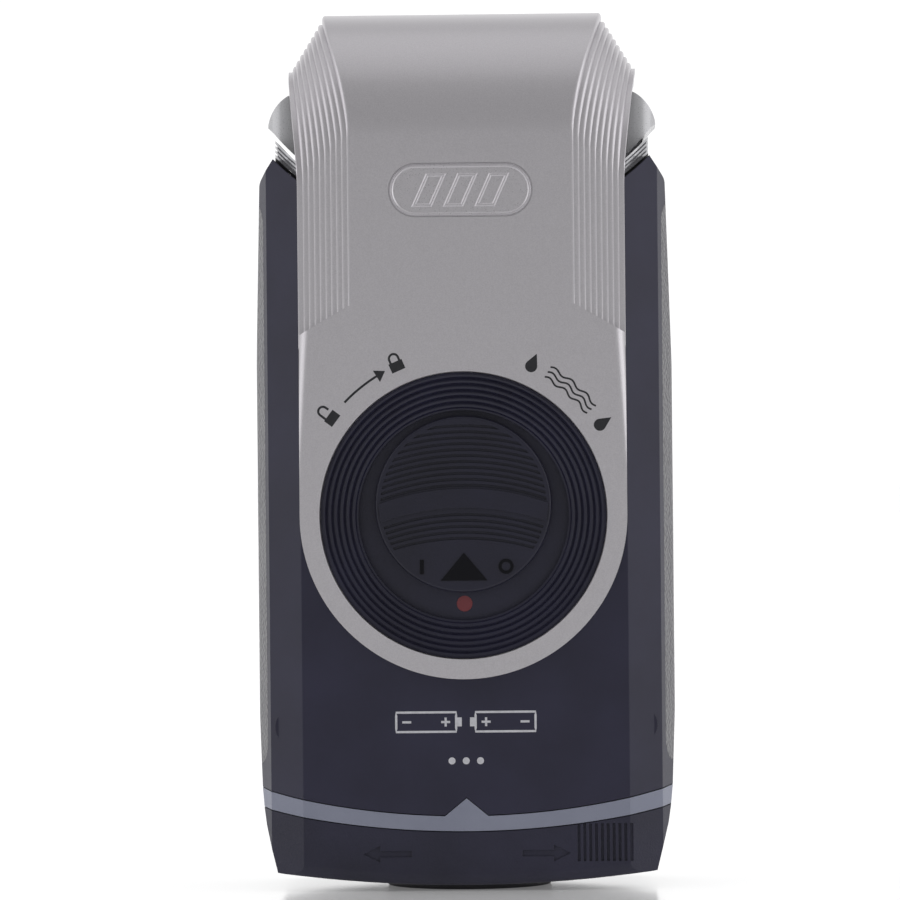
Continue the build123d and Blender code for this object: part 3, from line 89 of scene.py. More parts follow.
def spread(tree, factor, low, high):
    # noise mostly stays between 0.3 and 0.7, so that range is what gets spread out
    mapRange = tree.nodes.new("ShaderNodeMapRange")
    mapRange.inputs["From Min"].default_value = 0.3
    mapRange.inputs["From Max"].default_value = 0.7
    mapRange.inputs["To Min"].default_value = low
    mapRange.inputs["To Max"].default_value = high
    tree.links.new(factor, mapRange.inputs["Value"])
    return mapRange.outputs["Result"]


def softEdge(tree, radius):
    # edges of moulded parts catch the light as if they were slightly rounded
    edge = tree.nodes.new("ShaderNodeBevel")
    edge.samples = 4
    edge.inputs["Radius"].default_value = radius
    return edge.outputs["Normal"]


def addBump(tree, shader, height, distance, strength=1.0, normal=None):
    bump = tree.nodes.new("ShaderNodeBump")
    bump.inputs["Strength"].default_value = strength
    bump.inputs["Distance"].default_value = distance
    tree.links.new(height, bump.inputs["Height"])
    if normal:
        tree.links.new(normal, bump.inputs["Normal"])
    tree.links.new(bump.outputs["Normal"], shader.inputs["Normal"])
    return bump


def meshObject(name, mesh):
    data = bpy.data.meshes.new(name)
    mesh.to_mesh(data)
    mesh.free()
    piece = bpy.data.objects.new(name, data)
    bpy.context.scene.collection.objects.link(piece)
    return piece


def closedObject(name, mesh):
    bmesh.ops.recalc_face_normals(mesh, faces=mesh.faces)
    return meshObject(name, mesh)


def slab(mesh, outline, nearY, farY):
    # a closed outline of (x, z) points, filled and given a thickness from front to back
    near = [mesh.verts.new((x, nearY, z)) for x, z in outline]
    far = [mesh.verts.new((x, farY, z)) for x, z in outline]
    mesh.faces.new(near)
    mesh.faces.new(list(reversed(far)))
    for index in range(len(near)):
        after = (index + 1) % len(near)
        mesh.faces.new((near[index], far[index], far[after], near[after]))
    return near


def ovalPoints(half, radius, steps):
    # a flat oval: two half circles joined by straight lines
    points = []
    for side in (1, -1):
        for index in range(steps + 1):
            angle = math.radians(-90 + 180 * index / steps) + (0 if side > 0 else math.pi)
            points.append((side * half + radius * math.cos(angle), radius * math.sin(angle)))
    return points


def raised(points, centreZ):
    return [(x, centreZ + z) for x, z in points]


# what finishes of one kind have in common
common = {
    "cloudScale": 90, "rubberCloud": 120, "plasticVary": 0.05, "softVary": 0.06, "metalVary": 0.08,
    "coat": 0.15, "coatRoughness": 0.15, "specular": 0.5,
    "metalStretch": (1, 1, 0.04), "lineDepth": 0.000004, "holeRough": 0.45, "holeStrength": 0.6,
}


def mouldedPlastic(name, look):
    # injection-moulded plastic with a spark-eroded grain
    material, tree, shader, place = startMaterial(name)
    cloud = noise(tree, place, common["cloudScale"], 4)
    dark, light = look["dark"], look["light"]
    tree.links.new(blendColours(tree, cloud, dark, light), shader.inputs["Base Color"])
    grain = noise(tree, place, look["grainScale"], 2)
    rough, vary = look["roughness"], common["plasticVary"]
    tree.links.new(spread(tree, grain, rough - vary, rough + vary), shader.inputs["Roughness"])
    normal = softEdge(tree, look["edge"]) if "edge" in look else None
    addBump(tree, shader, grain, look["grainDepth"], normal=normal)
    shader.inputs["Specular IOR Level"].default_value = look.get("specular", common["specular"])
    return material


def silverPaint(name, look):
    # metallic lacquer: fine flakes in the colour and the roughness, soft orange peel
    material, tree, shader, place = startMaterial(name)
    flake = noise(tree, place, look["flakeScale"], 2)
    dark, light = look["dark"], look["light"]
    tree.links.new(blendColours(tree, flake, dark, light, 0.3, 0.7), shader.inputs["Base Color"])
    peel = noise(tree, place, look["peelScale"], 2)
    rough, vary = look["roughness"], common["softVary"]
    tree.links.new(spread(tree, flake, rough - vary, rough + vary), shader.inputs["Roughness"])
    shader.inputs["Metallic"].default_value = look["metallic"]
    addBump(tree, shader, peel, look["peelDepth"])
    shader.inputs["Coat Weight"].default_value = look.get("coat", common["coat"])
    shader.inputs["Coat Roughness"].default_value = common["coatRoughness"]
    return material


def brushedMetal(name, look):
    # drawn, rolled or ground metal with fine lines along one direction
    material, tree, shader, place = startMaterial(name)
    lines = noise(tree, place, look["lineScale"], 4, look.get("stretch", common["metalStretch"]))
    dark, light = look["dark"], look["light"]
    tree.links.new(blendColours(tree, lines, dark, light), shader.inputs["Base Color"])
    rough, vary = look["roughness"], common["metalVary"]
    tree.links.new(spread(tree, lines, rough - vary, rough + vary), shader.inputs["Roughness"])
    shader.inputs["Metallic"].default_value = 1.0
    addBump(tree, shader, lines, look.get("lineDepth", common["lineDepth"]))
    return material


def stippledRubber(name, look):
    # soft grip with a fine pebbled surface; its colour follows the pebble height, with painted shade
    # darkening the hollows between the pebbles
    material, tree, shader, place = startMaterial(name)
    pebble = tree.nodes.new("ShaderNodeTexVoronoi")
    pebble.inputs["Scale"].default_value = look["pebbleScale"]
    tree.links.new(place, pebble.inputs["Vector"])
    cloud = noise(tree, place, common["rubberCloud"], 3)
    dark, light = look["dark"], look["light"]
    # painted shade: the colour goes from light on the pebble tops to dark in the hollows between them
    colour = blendColours(tree, pebble.outputs["Distance"], light, dark, 0.1, 0.75)
    tree.links.new(colour, shader.inputs["Base Color"])
    rough, vary = look["roughness"], common["softVary"]
    tree.links.new(spread(tree, cloud, rough - vary, rough + vary), shader.inputs["Roughness"])
    bump = addBump(tree, shader, pebble.outputs["Distance"], look["pebbleDepth"])
    bump.invert = True
    shader.inputs["Sheen Weight"].default_value = look.get("sheen", 0.0)
    return material


def perforatedFoil(name, look):
    # thin nickel foil with rows of round holes, the holes painted dark as painted shade of the space
    # behind the foil
    material, tree, shader, place = startMaterial(name)
    pitch = look["holePitch"]
    rowPitch = math.sqrt(3) / 2  # rows of a staggered pattern, as a share of the pitch
    parts = tree.nodes.new("ShaderNodeSeparateXYZ")
    tree.links.new(place, parts.inputs["Vector"])

    def maths(kind, first, second=None):
        node = tree.nodes.new("ShaderNodeMath")
        node.operation = kind
        for socket, value in zip(node.inputs, (first, second)):
            if value is None:
                continue
            if isinstance(value, (int, float)):
                socket.default_value = value
            else:
                tree.links.new(value, socket)
        return node.outputs[0]

    across = maths("SUBTRACT", parts.outputs["Y"], look["axisY"])
    upward = maths("SUBTRACT", parts.outputs["Z"], look["axisZ"])
    turned = maths("MULTIPLY", maths("ARCTAN2", across, upward), look["radius"])
    row = maths("DIVIDE", turned, pitch * rowPitch)
    stagger = maths("MULTIPLY", maths("MODULO", maths("ABSOLUTE", maths("ROUND", row)), 2.0), 0.5)
    column = maths("ADD", maths("DIVIDE", parts.outputs["X"], pitch), stagger)
    rowOff = maths("MULTIPLY", maths("SUBTRACT", row, maths("ROUND", row)), rowPitch)
    columnOff = maths("SUBTRACT", column, maths("ROUND", column))
    squares = maths("ADD", maths("MULTIPLY", rowOff, rowOff), maths("MULTIPLY", columnOff, columnOff))
    distance = maths("SQRT", squares)
    dark, light = look["dark"], look["light"]
    hole, rim = look["holeSize"], look["holeRim"]
    # painted shade: the colour goes dark inside each hole
    colour = blendColours(tree, distance, dark, light, hole - rim, hole + rim)
    tree.links.new(colour, shader.inputs["Base Color"])
    rough = spread(tree, distance, common["holeRough"], look["roughness"])
    tree.links.new(rough, shader.inputs["Roughness"])
    shader.inputs["Metallic"].default_value = 1.0
    addBump(tree, shader, distance, look["holeDepth"], common["holeStrength"])
    return material


# each finish, as it would be ordered from the moulder or the painter
finishes = {
    "cap_silver": (silverPaint, {
        "dark": (0.585, 0.565, 0.595), "light": (0.665, 0.645, 0.675), "flakeScale": 7000,
        "peelScale": 900, "peelDepth": 0.000004, "roughness": 0.36, "metallic": 0.75,
    }),
    "badge_silver": (silverPaint, {
        "dark": (0.60, 0.58, 0.61), "light": (0.67, 0.65, 0.68), "flakeScale": 7000,
        "peelScale": 900, "peelDepth": 0.000004, "roughness": 0.33, "metallic": 0.75,
    }),
    "collar_silver": (silverPaint, {
        "dark": (0.49, 0.49, 0.51), "light": (0.54, 0.54, 0.56), "flakeScale": 7000,
        "peelScale": 700, "peelDepth": 0.000001, "roughness": 0.3, "metallic": 0.6,
    }),
    "ear_silver": (silverPaint, {
        "dark": (0.57, 0.57, 0.59), "light": (0.62, 0.62, 0.64), "flakeScale": 7000,
        "peelScale": 700, "peelDepth": 0.000001, "roughness": 0.32, "metallic": 0.35, "coat": 0.3,
    }),
    "shell_dark": (mouldedPlastic, {
        "dark": (0.014, 0.0130, 0.036), "light": (0.020, 0.0190, 0.048), "grainScale": 6000,
        "grainDepth": 0.000008, "roughness": 0.42, "edge": 0.0002,
    }),
    "cover_dark": (mouldedPlastic, {
        "dark": (0.014, 0.0135, 0.032), "light": (0.022, 0.0210, 0.047), "grainScale": 3800,
        "grainDepth": 0.00003, "roughness": 0.5, "edge": 0.0002,
    }),
    "foot_dark": (mouldedPlastic, {
        "dark": (0.010, 0.010, 0.014), "light": (0.015, 0.015, 0.020), "grainScale": 3800,
        "grainDepth": 0.00002, "roughness": 0.5, "edge": 0.0002,
    }),
    # pebbled grip: dark is painted shade in the hollows between pebbles, light is the pebble tops
    "grip_grey": (stippledRubber, {
        "dark": (0.075, 0.072, 0.085), "light": (0.14, 0.135, 0.155), "pebbleScale": 1900,
        "pebbleDepth": 0.00012, "roughness": 0.55, "sheen": 0.6,
    }),
    "band_blue": (mouldedPlastic, {
        "dark": (0.25, 0.265, 0.345), "light": (0.28, 0.295, 0.38), "grainScale": 5000,
        "grainDepth": 0.000006, "roughness": 0.42, "edge": 0.00012,
    }),
    "bezel_black": (mouldedPlastic, {
        "dark": (0.009, 0.0085, 0.024), "light": (0.013, 0.0125, 0.034), "grainScale": 5200,
        "grainDepth": 0.000012, "roughness": 0.46, "edge": 0.00007,
    }),
    "button_black": (mouldedPlastic, {
        "dark": (0.006, 0.0056, 0.018), "light": (0.009, 0.0086, 0.026), "grainScale": 5200,
        "grainDepth": 0.000012, "roughness": 0.44, "edge": 0.00007,
    }),
    "mark_black": (mouldedPlastic, {
        "dark": (0.004, 0.004, 0.006), "light": (0.006, 0.006, 0.009), "grainScale": 5200,
        "grainDepth": 0.000004, "roughness": 0.5, "edge": 0.00005, "specular": 0.15,
    }),
    "dot_red": (mouldedPlastic, {
        "dark": (0.15, 0.024, 0.030), "light": (0.19, 0.034, 0.042), "grainScale": 4000,
        "grainDepth": 0.000004, "roughness": 0.4,
    }),
    "frame_black": (mouldedPlastic, {
        "dark": (0.008, 0.008, 0.009), "light": (0.013, 0.013, 0.015), "grainScale": 4800,
        "grainDepth": 0.000015, "roughness": 0.45, "edge": 0.0002,
    }),
    "carrier_white": (mouldedPlastic, {
        "dark": (0.62, 0.61, 0.56), "light": (0.72, 0.71, 0.66), "grainScale": 3000,
        "grainDepth": 0.00001, "roughness": 0.4, "edge": 0.00015,
    }),
    "chassis_grey": (mouldedPlastic, {
        "dark": (0.09, 0.095, 0.105), "light": (0.125, 0.13, 0.14), "grainScale": 2600,
        "grainDepth": 0.00002, "roughness": 0.5, "edge": 0.0002,
    }),
    "board_green": (mouldedPlastic, {
        "dark": (0.010, 0.10, 0.035), "light": (0.018, 0.14, 0.055), "grainScale": 1400,
        "grainDepth": 0.00001, "roughness": 0.35,
    }),
    # pebbled seal: dark is painted shade in the hollows between pebbles, light is the pebble tops
    "seal_rubber": (stippledRubber, {
        "dark": (0.008, 0.008, 0.009), "light": (0.016, 0.016, 0.018), "pebbleScale": 2600,
        "pebbleDepth": 0.00004, "roughness": 0.6,
    }),
    # perforated foil: dark is painted shade inside the holes, light is the foil itself
    "foil_steel": (perforatedFoil, {
        "dark": (0.035, 0.035, 0.038), "light": (0.74, 0.75, 0.76), "holePitch": 0.00062,
        "holeSize": 0.30, "holeRim": 0.03, "holeDepth": 0.00008, "roughness": 0.22,
        "axisY": 0.0015, "axisZ": 0.1034, "radius": 0.0065,
    }),
    "blade_steel": (brushedMetal, {
        "dark": (0.52, 0.53, 0.55), "light": (0.68, 0.69, 0.71), "lineScale": 3000, "roughness": 0.28,
    }),
    "spring_steel": (brushedMetal, {
        "dark": (0.45, 0.46, 0.48), "light": (0.62, 0.63, 0.65), "lineScale": 2500, "roughness": 0.3,
    }),
    "screw_steel": (brushedMetal, {
        "dark": (0.48, 0.48, 0.49), "light": (0.64, 0.64, 0.65), "lineScale": 2500, "roughness": 0.35,
    }),
    "motor_steel": (brushedMetal, {
        "dark": (0.44, 0.45, 0.46), "light": (0.6, 0.61, 0.62), "lineScale": 1800, "roughness": 0.34,
    }),
    "cell_can": (brushedMetal, {
        "dark": (0.50, 0.50, 0.52), "light": (0.62, 0.62, 0.64), "lineScale": 1500, "roughness": 0.3,
    }),
    "magnet_dark": (mouldedPlastic, {
        "dark": (0.02, 0.02, 0.021), "light": (0.04, 0.04, 0.041), "grainScale": 2200,
        "grainDepth": 0.00004, "roughness": 0.6,
    }),
    "contact_brass": (brushedMetal, {
        "dark": (0.55, 0.42, 0.16), "light": (0.72, 0.57, 0.26), "lineScale": 2200, "roughness": 0.3,
    }),
    "armature_copper": (brushedMetal, {
        "dark": (0.42, 0.17, 0.07), "light": (0.62, 0.28, 0.13), "lineScale": 1600,
        "stretch": (0.1, 0.1, 1.0), "lineDepth": 0.00006, "roughness": 0.35,
    }),
}
materials = {name: make("finish_" + name, look) for name, (make, look) in finishes.items()}
for entry in record["subparts"]:
    piece = nodes[entry["node"]]
    piece.data.materials.clear()
    piece.data.materials.append(materials[entry["material_slot"]])
print("finishes made:", len(materials))

# turning hood: a smooth middle panel, and steps down each side that fan out at the top
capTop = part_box("twist_cap")[1].z
badgeLow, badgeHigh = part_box("cap_badge")
dialLow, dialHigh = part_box("dial_bezel")
hood = {
    "front": -badgeLow.y, "plateBack": 0.0127, "wall": 0.0017, "midY": 0.0015, "rearTurn": 0.0111,
    "top": capTop, "steps": 9, "firstHalf": 0.01506, "stepPitch": 0.000749, "stepDepth": 0.00013,
    "stepStartZ": 0.0782, "stepStartDrop": 0.000433, "plateTopZ": 0.092, "tuck": 0.0016,
    "fanZ": 0.1015, "fanDrop": 0.00077, "fanPower": 1.35, "tipHalf": 0.01925, "tipPitch": 0.000478,
    "cornerDrop": 0.0012, "tipDrop": 0.0008,
    "roundings": [(-0.78, 0.0), (-0.55, 0.06), (-0.34, 0.2), (-0.16, 0.45), (-0.04, 0.74), (0.03, 1.0)],
    "halfWidth": 0.0218, "pivotZ": (dialLow.z + dialHigh.z) / 2, "sideBevel": 0.0018, "bevelSteps": 8,
    "ledge": 0.0011, "hubRadius": 0.01738, "dialRadius": dialHigh.x + 0.0001,
    "sweep": [
        (0.0557, -0.0127), (0.0601, -0.0093), (0.0614, -0.0076), (0.0616, -0.0068),
        (0.0625, -0.0045), (0.0625, 0.06),
    ],
    "badgeZ": (badgeLow.z + badgeHigh.z) / 2, "badgeHalf": 0.0060, "badgeRadius": 0.0036,
    "badgeDepth": 0.0004, "badgeReach": 0.002, "badgeSteps": 16,
    "middle": [0.0, 0.33, 0.66, 0.92], "plateRows": [0.0, 0.35, 0.7, 1.0], "frontRows": 20, "rearRows": 12,
    "tongueSteps": 72, "sweepSteps": 240, "ringSteps": 160, "toolReach": 0.03,
    "crease": 38,
}


def stepTop(level):
    if level <= 1:
        return hood["top"] - hood["cornerDrop"] * level
    return hood["top"] - hood["cornerDrop"] - hood["tipDrop"] * (level - 1)


def stepSide(edge, z):
    # how far out an edge of the steps stands at a height: straight, then curving outwards
    half = hood["firstHalf"] + edge * hood["stepPitch"]
    tip = hood["tipHalf"] + edge * hood["tipPitch"]
    fanZ = hood["fanZ"] - hood["fanDrop"] * edge
    climb = max(0.0, (z - fanZ) / (stepTop(edge) - fanZ))
    return half + (tip - half) * climb ** hood["fanPower"]


def shellRow(level, row, inset):
    # one point of the side view: straight plate, round top, short rear turn
    kind, along = row
    turn = hood["front"] - hood["stepDepth"] * level + hood["midY"]
    bendZ = stepTop(level) - turn
    rearBendZ = stepTop(level) - hood["rearTurn"]
    if kind == "plate":
        low = hood["stepStartZ"] - (hood["tuck"] if level else 0.0) - hood["stepStartDrop"] * level
        z = low + (hood["plateTopZ"] - low) * along
        back = -hood["plateBack"] if inset else hood["midY"] - turn
        return back, z
    if kind == "rise":
        return hood["midY"] - turn + inset, hood["plateTopZ"] + (bendZ - hood["plateTopZ"]) * along
    angle = math.radians(90 * along)
    if kind == "front":
        return hood["midY"] - (turn - inset) * math.cos(angle), bendZ + (turn - inset) * math.sin(angle)
    reach = hood["rearTurn"] - inset
    return hood["midY"] + reach * math.sin(angle), rearBendZ + reach * math.cos(angle)


def hoodColumns():
    # from the middle outwards: (edge that sets the side place, offset as a share of a step, depth level)
    columns = [(None, share, 0.0) for share in hood["middle"]]
    for edge in range(hood["steps"]):
        for offset, part in hood["roundings"]:
            columns.append((edge, offset, edge + part))
    # the last step ends in a small corner that turns back into the wall
    columns.append((hood["steps"], -0.15, hood["steps"]))
    columns.append((hood["steps"], 0.0, hood["steps"] + 0.5))
    return columns


def buildHoodTop():
    frontRows, rearRows = hood["frontRows"], hood["rearRows"]
    rows = [("plate", along) for along in hood["plateRows"]]
    rows += [("rise", 0.5), ("rise", 1.0)]
    rows += [("front", i / frontRows) for i in range(1, frontRows + 1)]
    rows += [("rear", i / rearRows) for i in range(1, rearRows + 1)]
    columns = hoodColumns()
    mirrored = [(edge, offset, level, -1) for edge, offset, level in reversed(columns[1:])]
    across = mirrored + [(edge, offset, level, 1) for edge, offset, level in columns]
    mesh = bmesh.new()
    layers = []
    for inset in (0.0, hood["wall"]):
        grid = []
        for edge, offset, level, side in across:
            line = []
            for row in rows:
                y, z = shellRow(level, row, inset)
                if edge is None:
                    x = stepSide(0, z) * offset
                else:
                    x = stepSide(edge, z) + offset * (stepSide(edge + 1, z) - stepSide(edge, z))
                line.append(mesh.verts.new((x * side, y, z)))
            grid.append(line)
        layers.append(grid)
    outer, inner = layers
    lastRow, lastColumn = len(rows) - 1, len(across) - 1
    for c in range(lastColumn):
        for r in range(lastRow):
            mesh.faces.new((outer[c][r], outer[c + 1][r], outer[c + 1][r + 1], outer[c][r + 1]))
            mesh.faces.new((inner[c][r], inner[c][r + 1], inner[c + 1][r + 1], inner[c + 1][r]))
        for r in (0, lastRow):
            mesh.faces.new((outer[c][r], outer[c + 1][r], inner[c + 1][r], inner[c][r]))
    for r in range(lastRow):
        for c in (0, lastColumn):
            mesh.faces.new((outer[c][r], outer[c][r + 1], inner[c][r + 1], inner[c][r]))
    return closedObject("hoodTop", mesh)


def arcPoints(centre, radius, first, last, count):
    points = []
    for index in range(count + 1):
        angle = math.radians(first + (last - first) * index / count)
        points.append((centre[0] + radius * math.cos(angle), centre[1] + radius * math.sin(angle)))
    return points


def buildHoodTongue():
    # the flat lower end that goes round the dial
    sideTop = hood["stepStartZ"] - hood["stepStartDrop"] * hood["steps"]
    outline = [(-hood["firstHalf"], hood["stepStartZ"]), (-hood["halfWidth"], sideTop)]
    outline += arcPoints((0, hood["pivotZ"]), hood["halfWidth"], 180, 360, hood["tongueSteps"])
    outline += [(hood["halfWidth"], sideTop), (hood["firstHalf"], hood["stepStartZ"])]
    mesh = bmesh.new()
    loop = slab(mesh, outline, -hood["front"], -hood["plateBack"])
    rim = [mesh.edges.get((loop[i], loop[i + 1])) for i in range(1, len(loop) - 2)]
    bmesh.ops.bevel(
        mesh, geom=rim, offset=hood["sideBevel"], segments=hood["bevelSteps"], profile=0.5,
        affect="EDGES", clamp_overlap=False,
    )
    return closedObject("hoodTongue", mesh)


def turnedSolid(name, profile, segments):
    # a solid turned about the dial's axis, which runs front to back: profile is (radius, y)
    mesh = bmesh.new()
    rings = []
    for radius, y in profile:
        ring = []
        for index in range(segments):
            angle = 2 * math.pi * index / segments
            height = hood["pivotZ"] + radius * math.sin(angle)
            ring.append(mesh.verts.new((radius * math.cos(angle), y, height)))
        rings.append(ring)
    for first, second in zip(rings, rings[1:]):
        for index in range(segments):
            after = (index + 1) % segments
            mesh.faces.new((first[index], first[after], second[after], second[index]))
    mesh.faces.new(list(reversed(rings[0])))
    mesh.faces.new(rings[-1])
    return closedObject(name, mesh)


def badgeBed():
    mesh = bmesh.new()
    outline = ovalPoints(hood["badgeHalf"], hood["badgeRadius"], hood["badgeSteps"])
    near, far = -hood["front"] - hood["badgeReach"], -hood["front"] + hood["badgeDepth"]
    slab(mesh, raised(outline, hood["badgeZ"]), near, far)
    return closedObject("badgeBed", mesh)


def carve(piece, tool, operation):
    # joins or cuts with another solid, which is used up
    cut = piece.modifiers.new(operation.lower(), "BOOLEAN")
    cut.operation = operation
    cut.solver = "EXACT"
    cut.object = tool
    bpy.context.view_layer.update()
    seen = piece.evaluated_get(bpy.context.evaluated_depsgraph_get())
    shaped = bpy.data.meshes.new_from_object(seen)
    piece.modifiers.clear()
    old = piece.data
    piece.data = shaped
    bpy.data.meshes.remove(old)
    bpy.data.objects.remove(tool)


def softShade(piece, angle):
    # smooth faces, with creases kept where the surface turns sharply
    piece.data.polygons.foreach_set("use_smooth", [True] * len(piece.data.polygons))
    piece.data.set_sharp_from_angle(angle=math.radians(angle))


def buildHood():
    piece = buildHoodTop()
    carve(piece, buildHoodTongue(), "UNION")
    carve(piece, turnedSolid("headSweep", hood["sweep"], hood["sweepSteps"]), "DIFFERENCE")
    hub = [(hood["hubRadius"], -hood["toolReach"]), (hood["hubRadius"], 0.0)]
    carve(piece, turnedSolid("hubHole", hub, hood["ringSteps"]), "DIFFERENCE")
    radius, ledgeY = hood["dialRadius"], -hood["plateBack"] - hood["ledge"]
    dial = [(radius, -hood["toolReach"]), (radius, ledgeY)]
    carve(piece, turnedSolid("dialHole", dial, hood["ringSteps"]), "DIFFERENCE")
    carve(piece, badgeBed(), "DIFFERENCE")
    softShade(piece, hood["crease"])
    weigh = piece.modifiers.new("flatFaces", "WEIGHTED_NORMAL")
    weigh.keep_sharp = True
    piece.name = "hoodShell"
    piece.data.materials.clear()
    piece.data.materials.append(materials["cap_silver"])
    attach(piece, "hood")
    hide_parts("twist_cap")
    print("hood shell:", len(piece.data.polygons), "faces")


buildHood()

# emblem: three slanted bars in an oval rim, in the bed on the hood
emblem = {
    "plateDrop": 0.00013, "ridgeBase": 0.00052, "ridgeTop": 0.00016,
    "rimHalf": 0.0060, "rimRadius": 0.0032, "barHeight": 0.0040, "barWidth": 0.0022,
    "barSlant": 0.0018, "barPitch": 0.0042, "gap": 0.00008, "depth": 0.00037, "ovalSteps": 20,
    "proud": 0.00001, "foot": 0.00002, "crease": 30,
}


def ridge(mesh, points, low, high):
    # a closed raised line with sloping sides, standing on the plate
    count = len(points)
    rings = []
    for width, y in (
        (emblem["ridgeBase"], low), (emblem["ridgeTop"], high),
        (-emblem["ridgeTop"], high), (-emblem["ridgeBase"], low),
    ):
        ring = []
        for index, point in enumerate(points):
            before, after = points[index - 1], points[(index + 1) % count]
            first = Vector((point[0] - before[0], point[1] - before[1])).normalized()
            second = Vector((after[0] - point[0], after[1] - point[1])).normalized()
            along = (first + second).normalized()
            mitre = width / 2 / max(0.5, along.dot(first))
            x, z = point[0] - along.y * mitre, point[1] + along.x * mitre
            ring.append(mesh.verts.new((x, y, hood["badgeZ"] + z)))
        rings.append(ring)
    for ringA, ringB in zip(rings, rings[1:] + rings[:1]):
        for index in range(count):
            after = (index + 1) % count
            mesh.faces.new((ringA[index], ringA[after], ringB[after], ringB[index]))


def buildEmblem():
    high = -hood["front"] + emblem["proud"]
    bed = high + emblem["plateDrop"]
    foot = bed + emblem["foot"]
    mesh = bmesh.new()
    plate = ovalPoints(hood["badgeHalf"], hood["badgeRadius"] - emblem["gap"], emblem["ovalSteps"])
    slab(mesh, raised(plate, hood["badgeZ"]), bed, high + emblem["depth"])
    ridge(mesh, ovalPoints(emblem["rimHalf"], emblem["rimRadius"], emblem["ovalSteps"]), foot, high)
    half, up, lean = emblem["barWidth"] / 2, emblem["barHeight"] / 2, emblem["barSlant"] / 2
    for step in (-1, 0, 1):
        x = step * emblem["barPitch"]
        low, top = x - lean, x + lean
        bar = [(low - half, -up), (low + half, -up), (top + half, up), (top - half, up)]
        ridge(mesh, bar, foot, high)
    piece = closedObject("hoodEmblem", mesh)
    softShade(piece, emblem["crease"])
    piece.data.materials.append(materials["badge_silver"])
    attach(piece, "hood")
    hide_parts("cap_badge")
    print("emblem done")


buildEmblem()

# printed signs: flat ink on the hood and on the front shell
ink = {
    "thickness": 0.00002, "hoodStroke": 0.00030, "hoodRadius": 0.0221,
    "frontStroke": 0.00030, "frontRowZ": 0.0226, "secondRowZ": 0.0174,
    "black": (0.012, 0.012, 0.016), "pale": (0.60, 0.60, 0.64), "cloudScale": 2500,
    "uneven": 1.15, "lift": 0.004, "roughLow": 0.34, "roughHigh": 0.46,
    "lockHalf": 0.00095, "lockLow": -0.00105, "lockHigh": 0.00025, "openLock": -53, "closedLock": -23.5,
    "bowRadius": 0.00062, "bowRise": 0.00045, "bowSteps": 12,
    "arrowFrom": -46.0, "arrowTo": -31.5, "arrowDrop": 0.0003, "arrowSteps": 14,
    "arrowHead": [(0.0, 0.0006), (0.00135, -0.0003), (0.0, -0.0012)],
    "firstDrop": 25, "lastDrop": 57, "dropSize": 0.0013,
    "dropLow": 0.25, "dropRound": 0.62, "dropTip": 1.15,
    "wavesFrom": 31, "wavesTo": 51, "wavePitch": 0.00075, "waveHeight": 0.00022, "waveStroke": 0.00024,
    "waveCount": 3, "waveSteps": 32,
    "cellX": 0.0053, "cellHalf": 0.0040, "cellHeight": 0.0013, "nub": 0.0006, "nubGap": 0.00015,
    "poleX": 0.0026, "poleHalf": 0.0006, "poleGap": 0.00016, "sideSplit": 6,
    "dotPitch": 0.0019, "dotRadius": 0.00048, "dotSides": 12,
}


def inkFinish(name, colour):
    # screen-printed ink: a little uneven, a little glossier than the plastic
    material, tree, shader, place = startMaterial(name)
    cloud = noise(tree, place, ink["cloudScale"], 3)
    lighter = [c * ink["uneven"] + ink["lift"] for c in colour]
    tree.links.new(blendColours(tree, cloud, colour, lighter), shader.inputs["Base Color"])
    rough = spread(tree, cloud, ink["roughLow"], ink["roughHigh"])
    tree.links.new(rough, shader.inputs["Roughness"])
    return material


def inkPath(mesh, points, width, front, closed=False):
    # a line of constant width, as a thin slab
    count = len(points)
    left, right = [], []
    for index, point in enumerate(points):
        before = points[(index - 1) % count] if closed or index else point
        after = points[(index + 1) % count] if closed or index < count - 1 else point
        along = Vector((after[0] - before[0], after[1] - before[1])).normalized()
        side = Vector((-along.y, along.x)) * width / 2
        left.append((point[0] + side.x, point[1] + side.y))
        right.append((point[0] - side.x, point[1] - side.y))
    rings = []
    for y in (front, front + ink["thickness"]):
        rings.append([
            [mesh.verts.new((x, y, z)) for x, z in left],
            [mesh.verts.new((x, y, z)) for x, z in right],
        ])
    (nearLeft, nearRight), (farLeft, farRight) = rings
    spans = count if closed else count - 1
    for i in range(spans):
        j = (i + 1) % count
        mesh.faces.new((nearLeft[i], nearLeft[j], nearRight[j], nearRight[i]))
        mesh.faces.new((farLeft[i], farRight[i], farRight[j], farLeft[j]))
        mesh.faces.new((nearLeft[i], farLeft[i], farLeft[j], nearLeft[j]))
        mesh.faces.new((nearRight[i], nearRight[j], farRight[j], farRight[i]))
    if not closed:
        for i in (0, count - 1):
            mesh.faces.new((nearLeft[i], nearRight[i], farRight[i], farLeft[i]))


def inkPatch(mesh, points, front):
    # a filled shape
    slab(mesh, points, front, front + ink["thickness"])


def hoodInk():
    # where ink lies on the hood: just proud of its front
    return -hood["front"] - ink["thickness"]


def onHoodArc(points, degrees):
    # moves a small drawing from its own centre to its place round the dial, upright on the arc
    turn = math.radians(degrees)
    radius = ink["hoodRadius"]
    placed = []
    for x, z in points:
        reach = radius + z
        placed.append((
            reach * math.sin(turn) + x * math.cos(turn),
            hood["pivotZ"] + reach * math.cos(turn) - x * math.sin(turn),
        ))
    return placed


def padlock(mesh, degrees, lift):
    half, low, high = ink["lockHalf"], ink["lockLow"], ink["lockHigh"]
    body = [(-half, low), (half, low), (half, high), (-half, high)]
    inkPatch(mesh, onHoodArc(body, degrees), hoodInk())
    radius, centre = ink["bowRadius"], (0, high + ink["bowRise"] + lift)
    bow = [(radius, high + lift)] + arcPoints(centre, radius, 0, 180, ink["bowSteps"])
    bow.append((-radius, high))
    inkPath(mesh, onHoodArc(bow, degrees), ink["hoodStroke"], hoodInk())


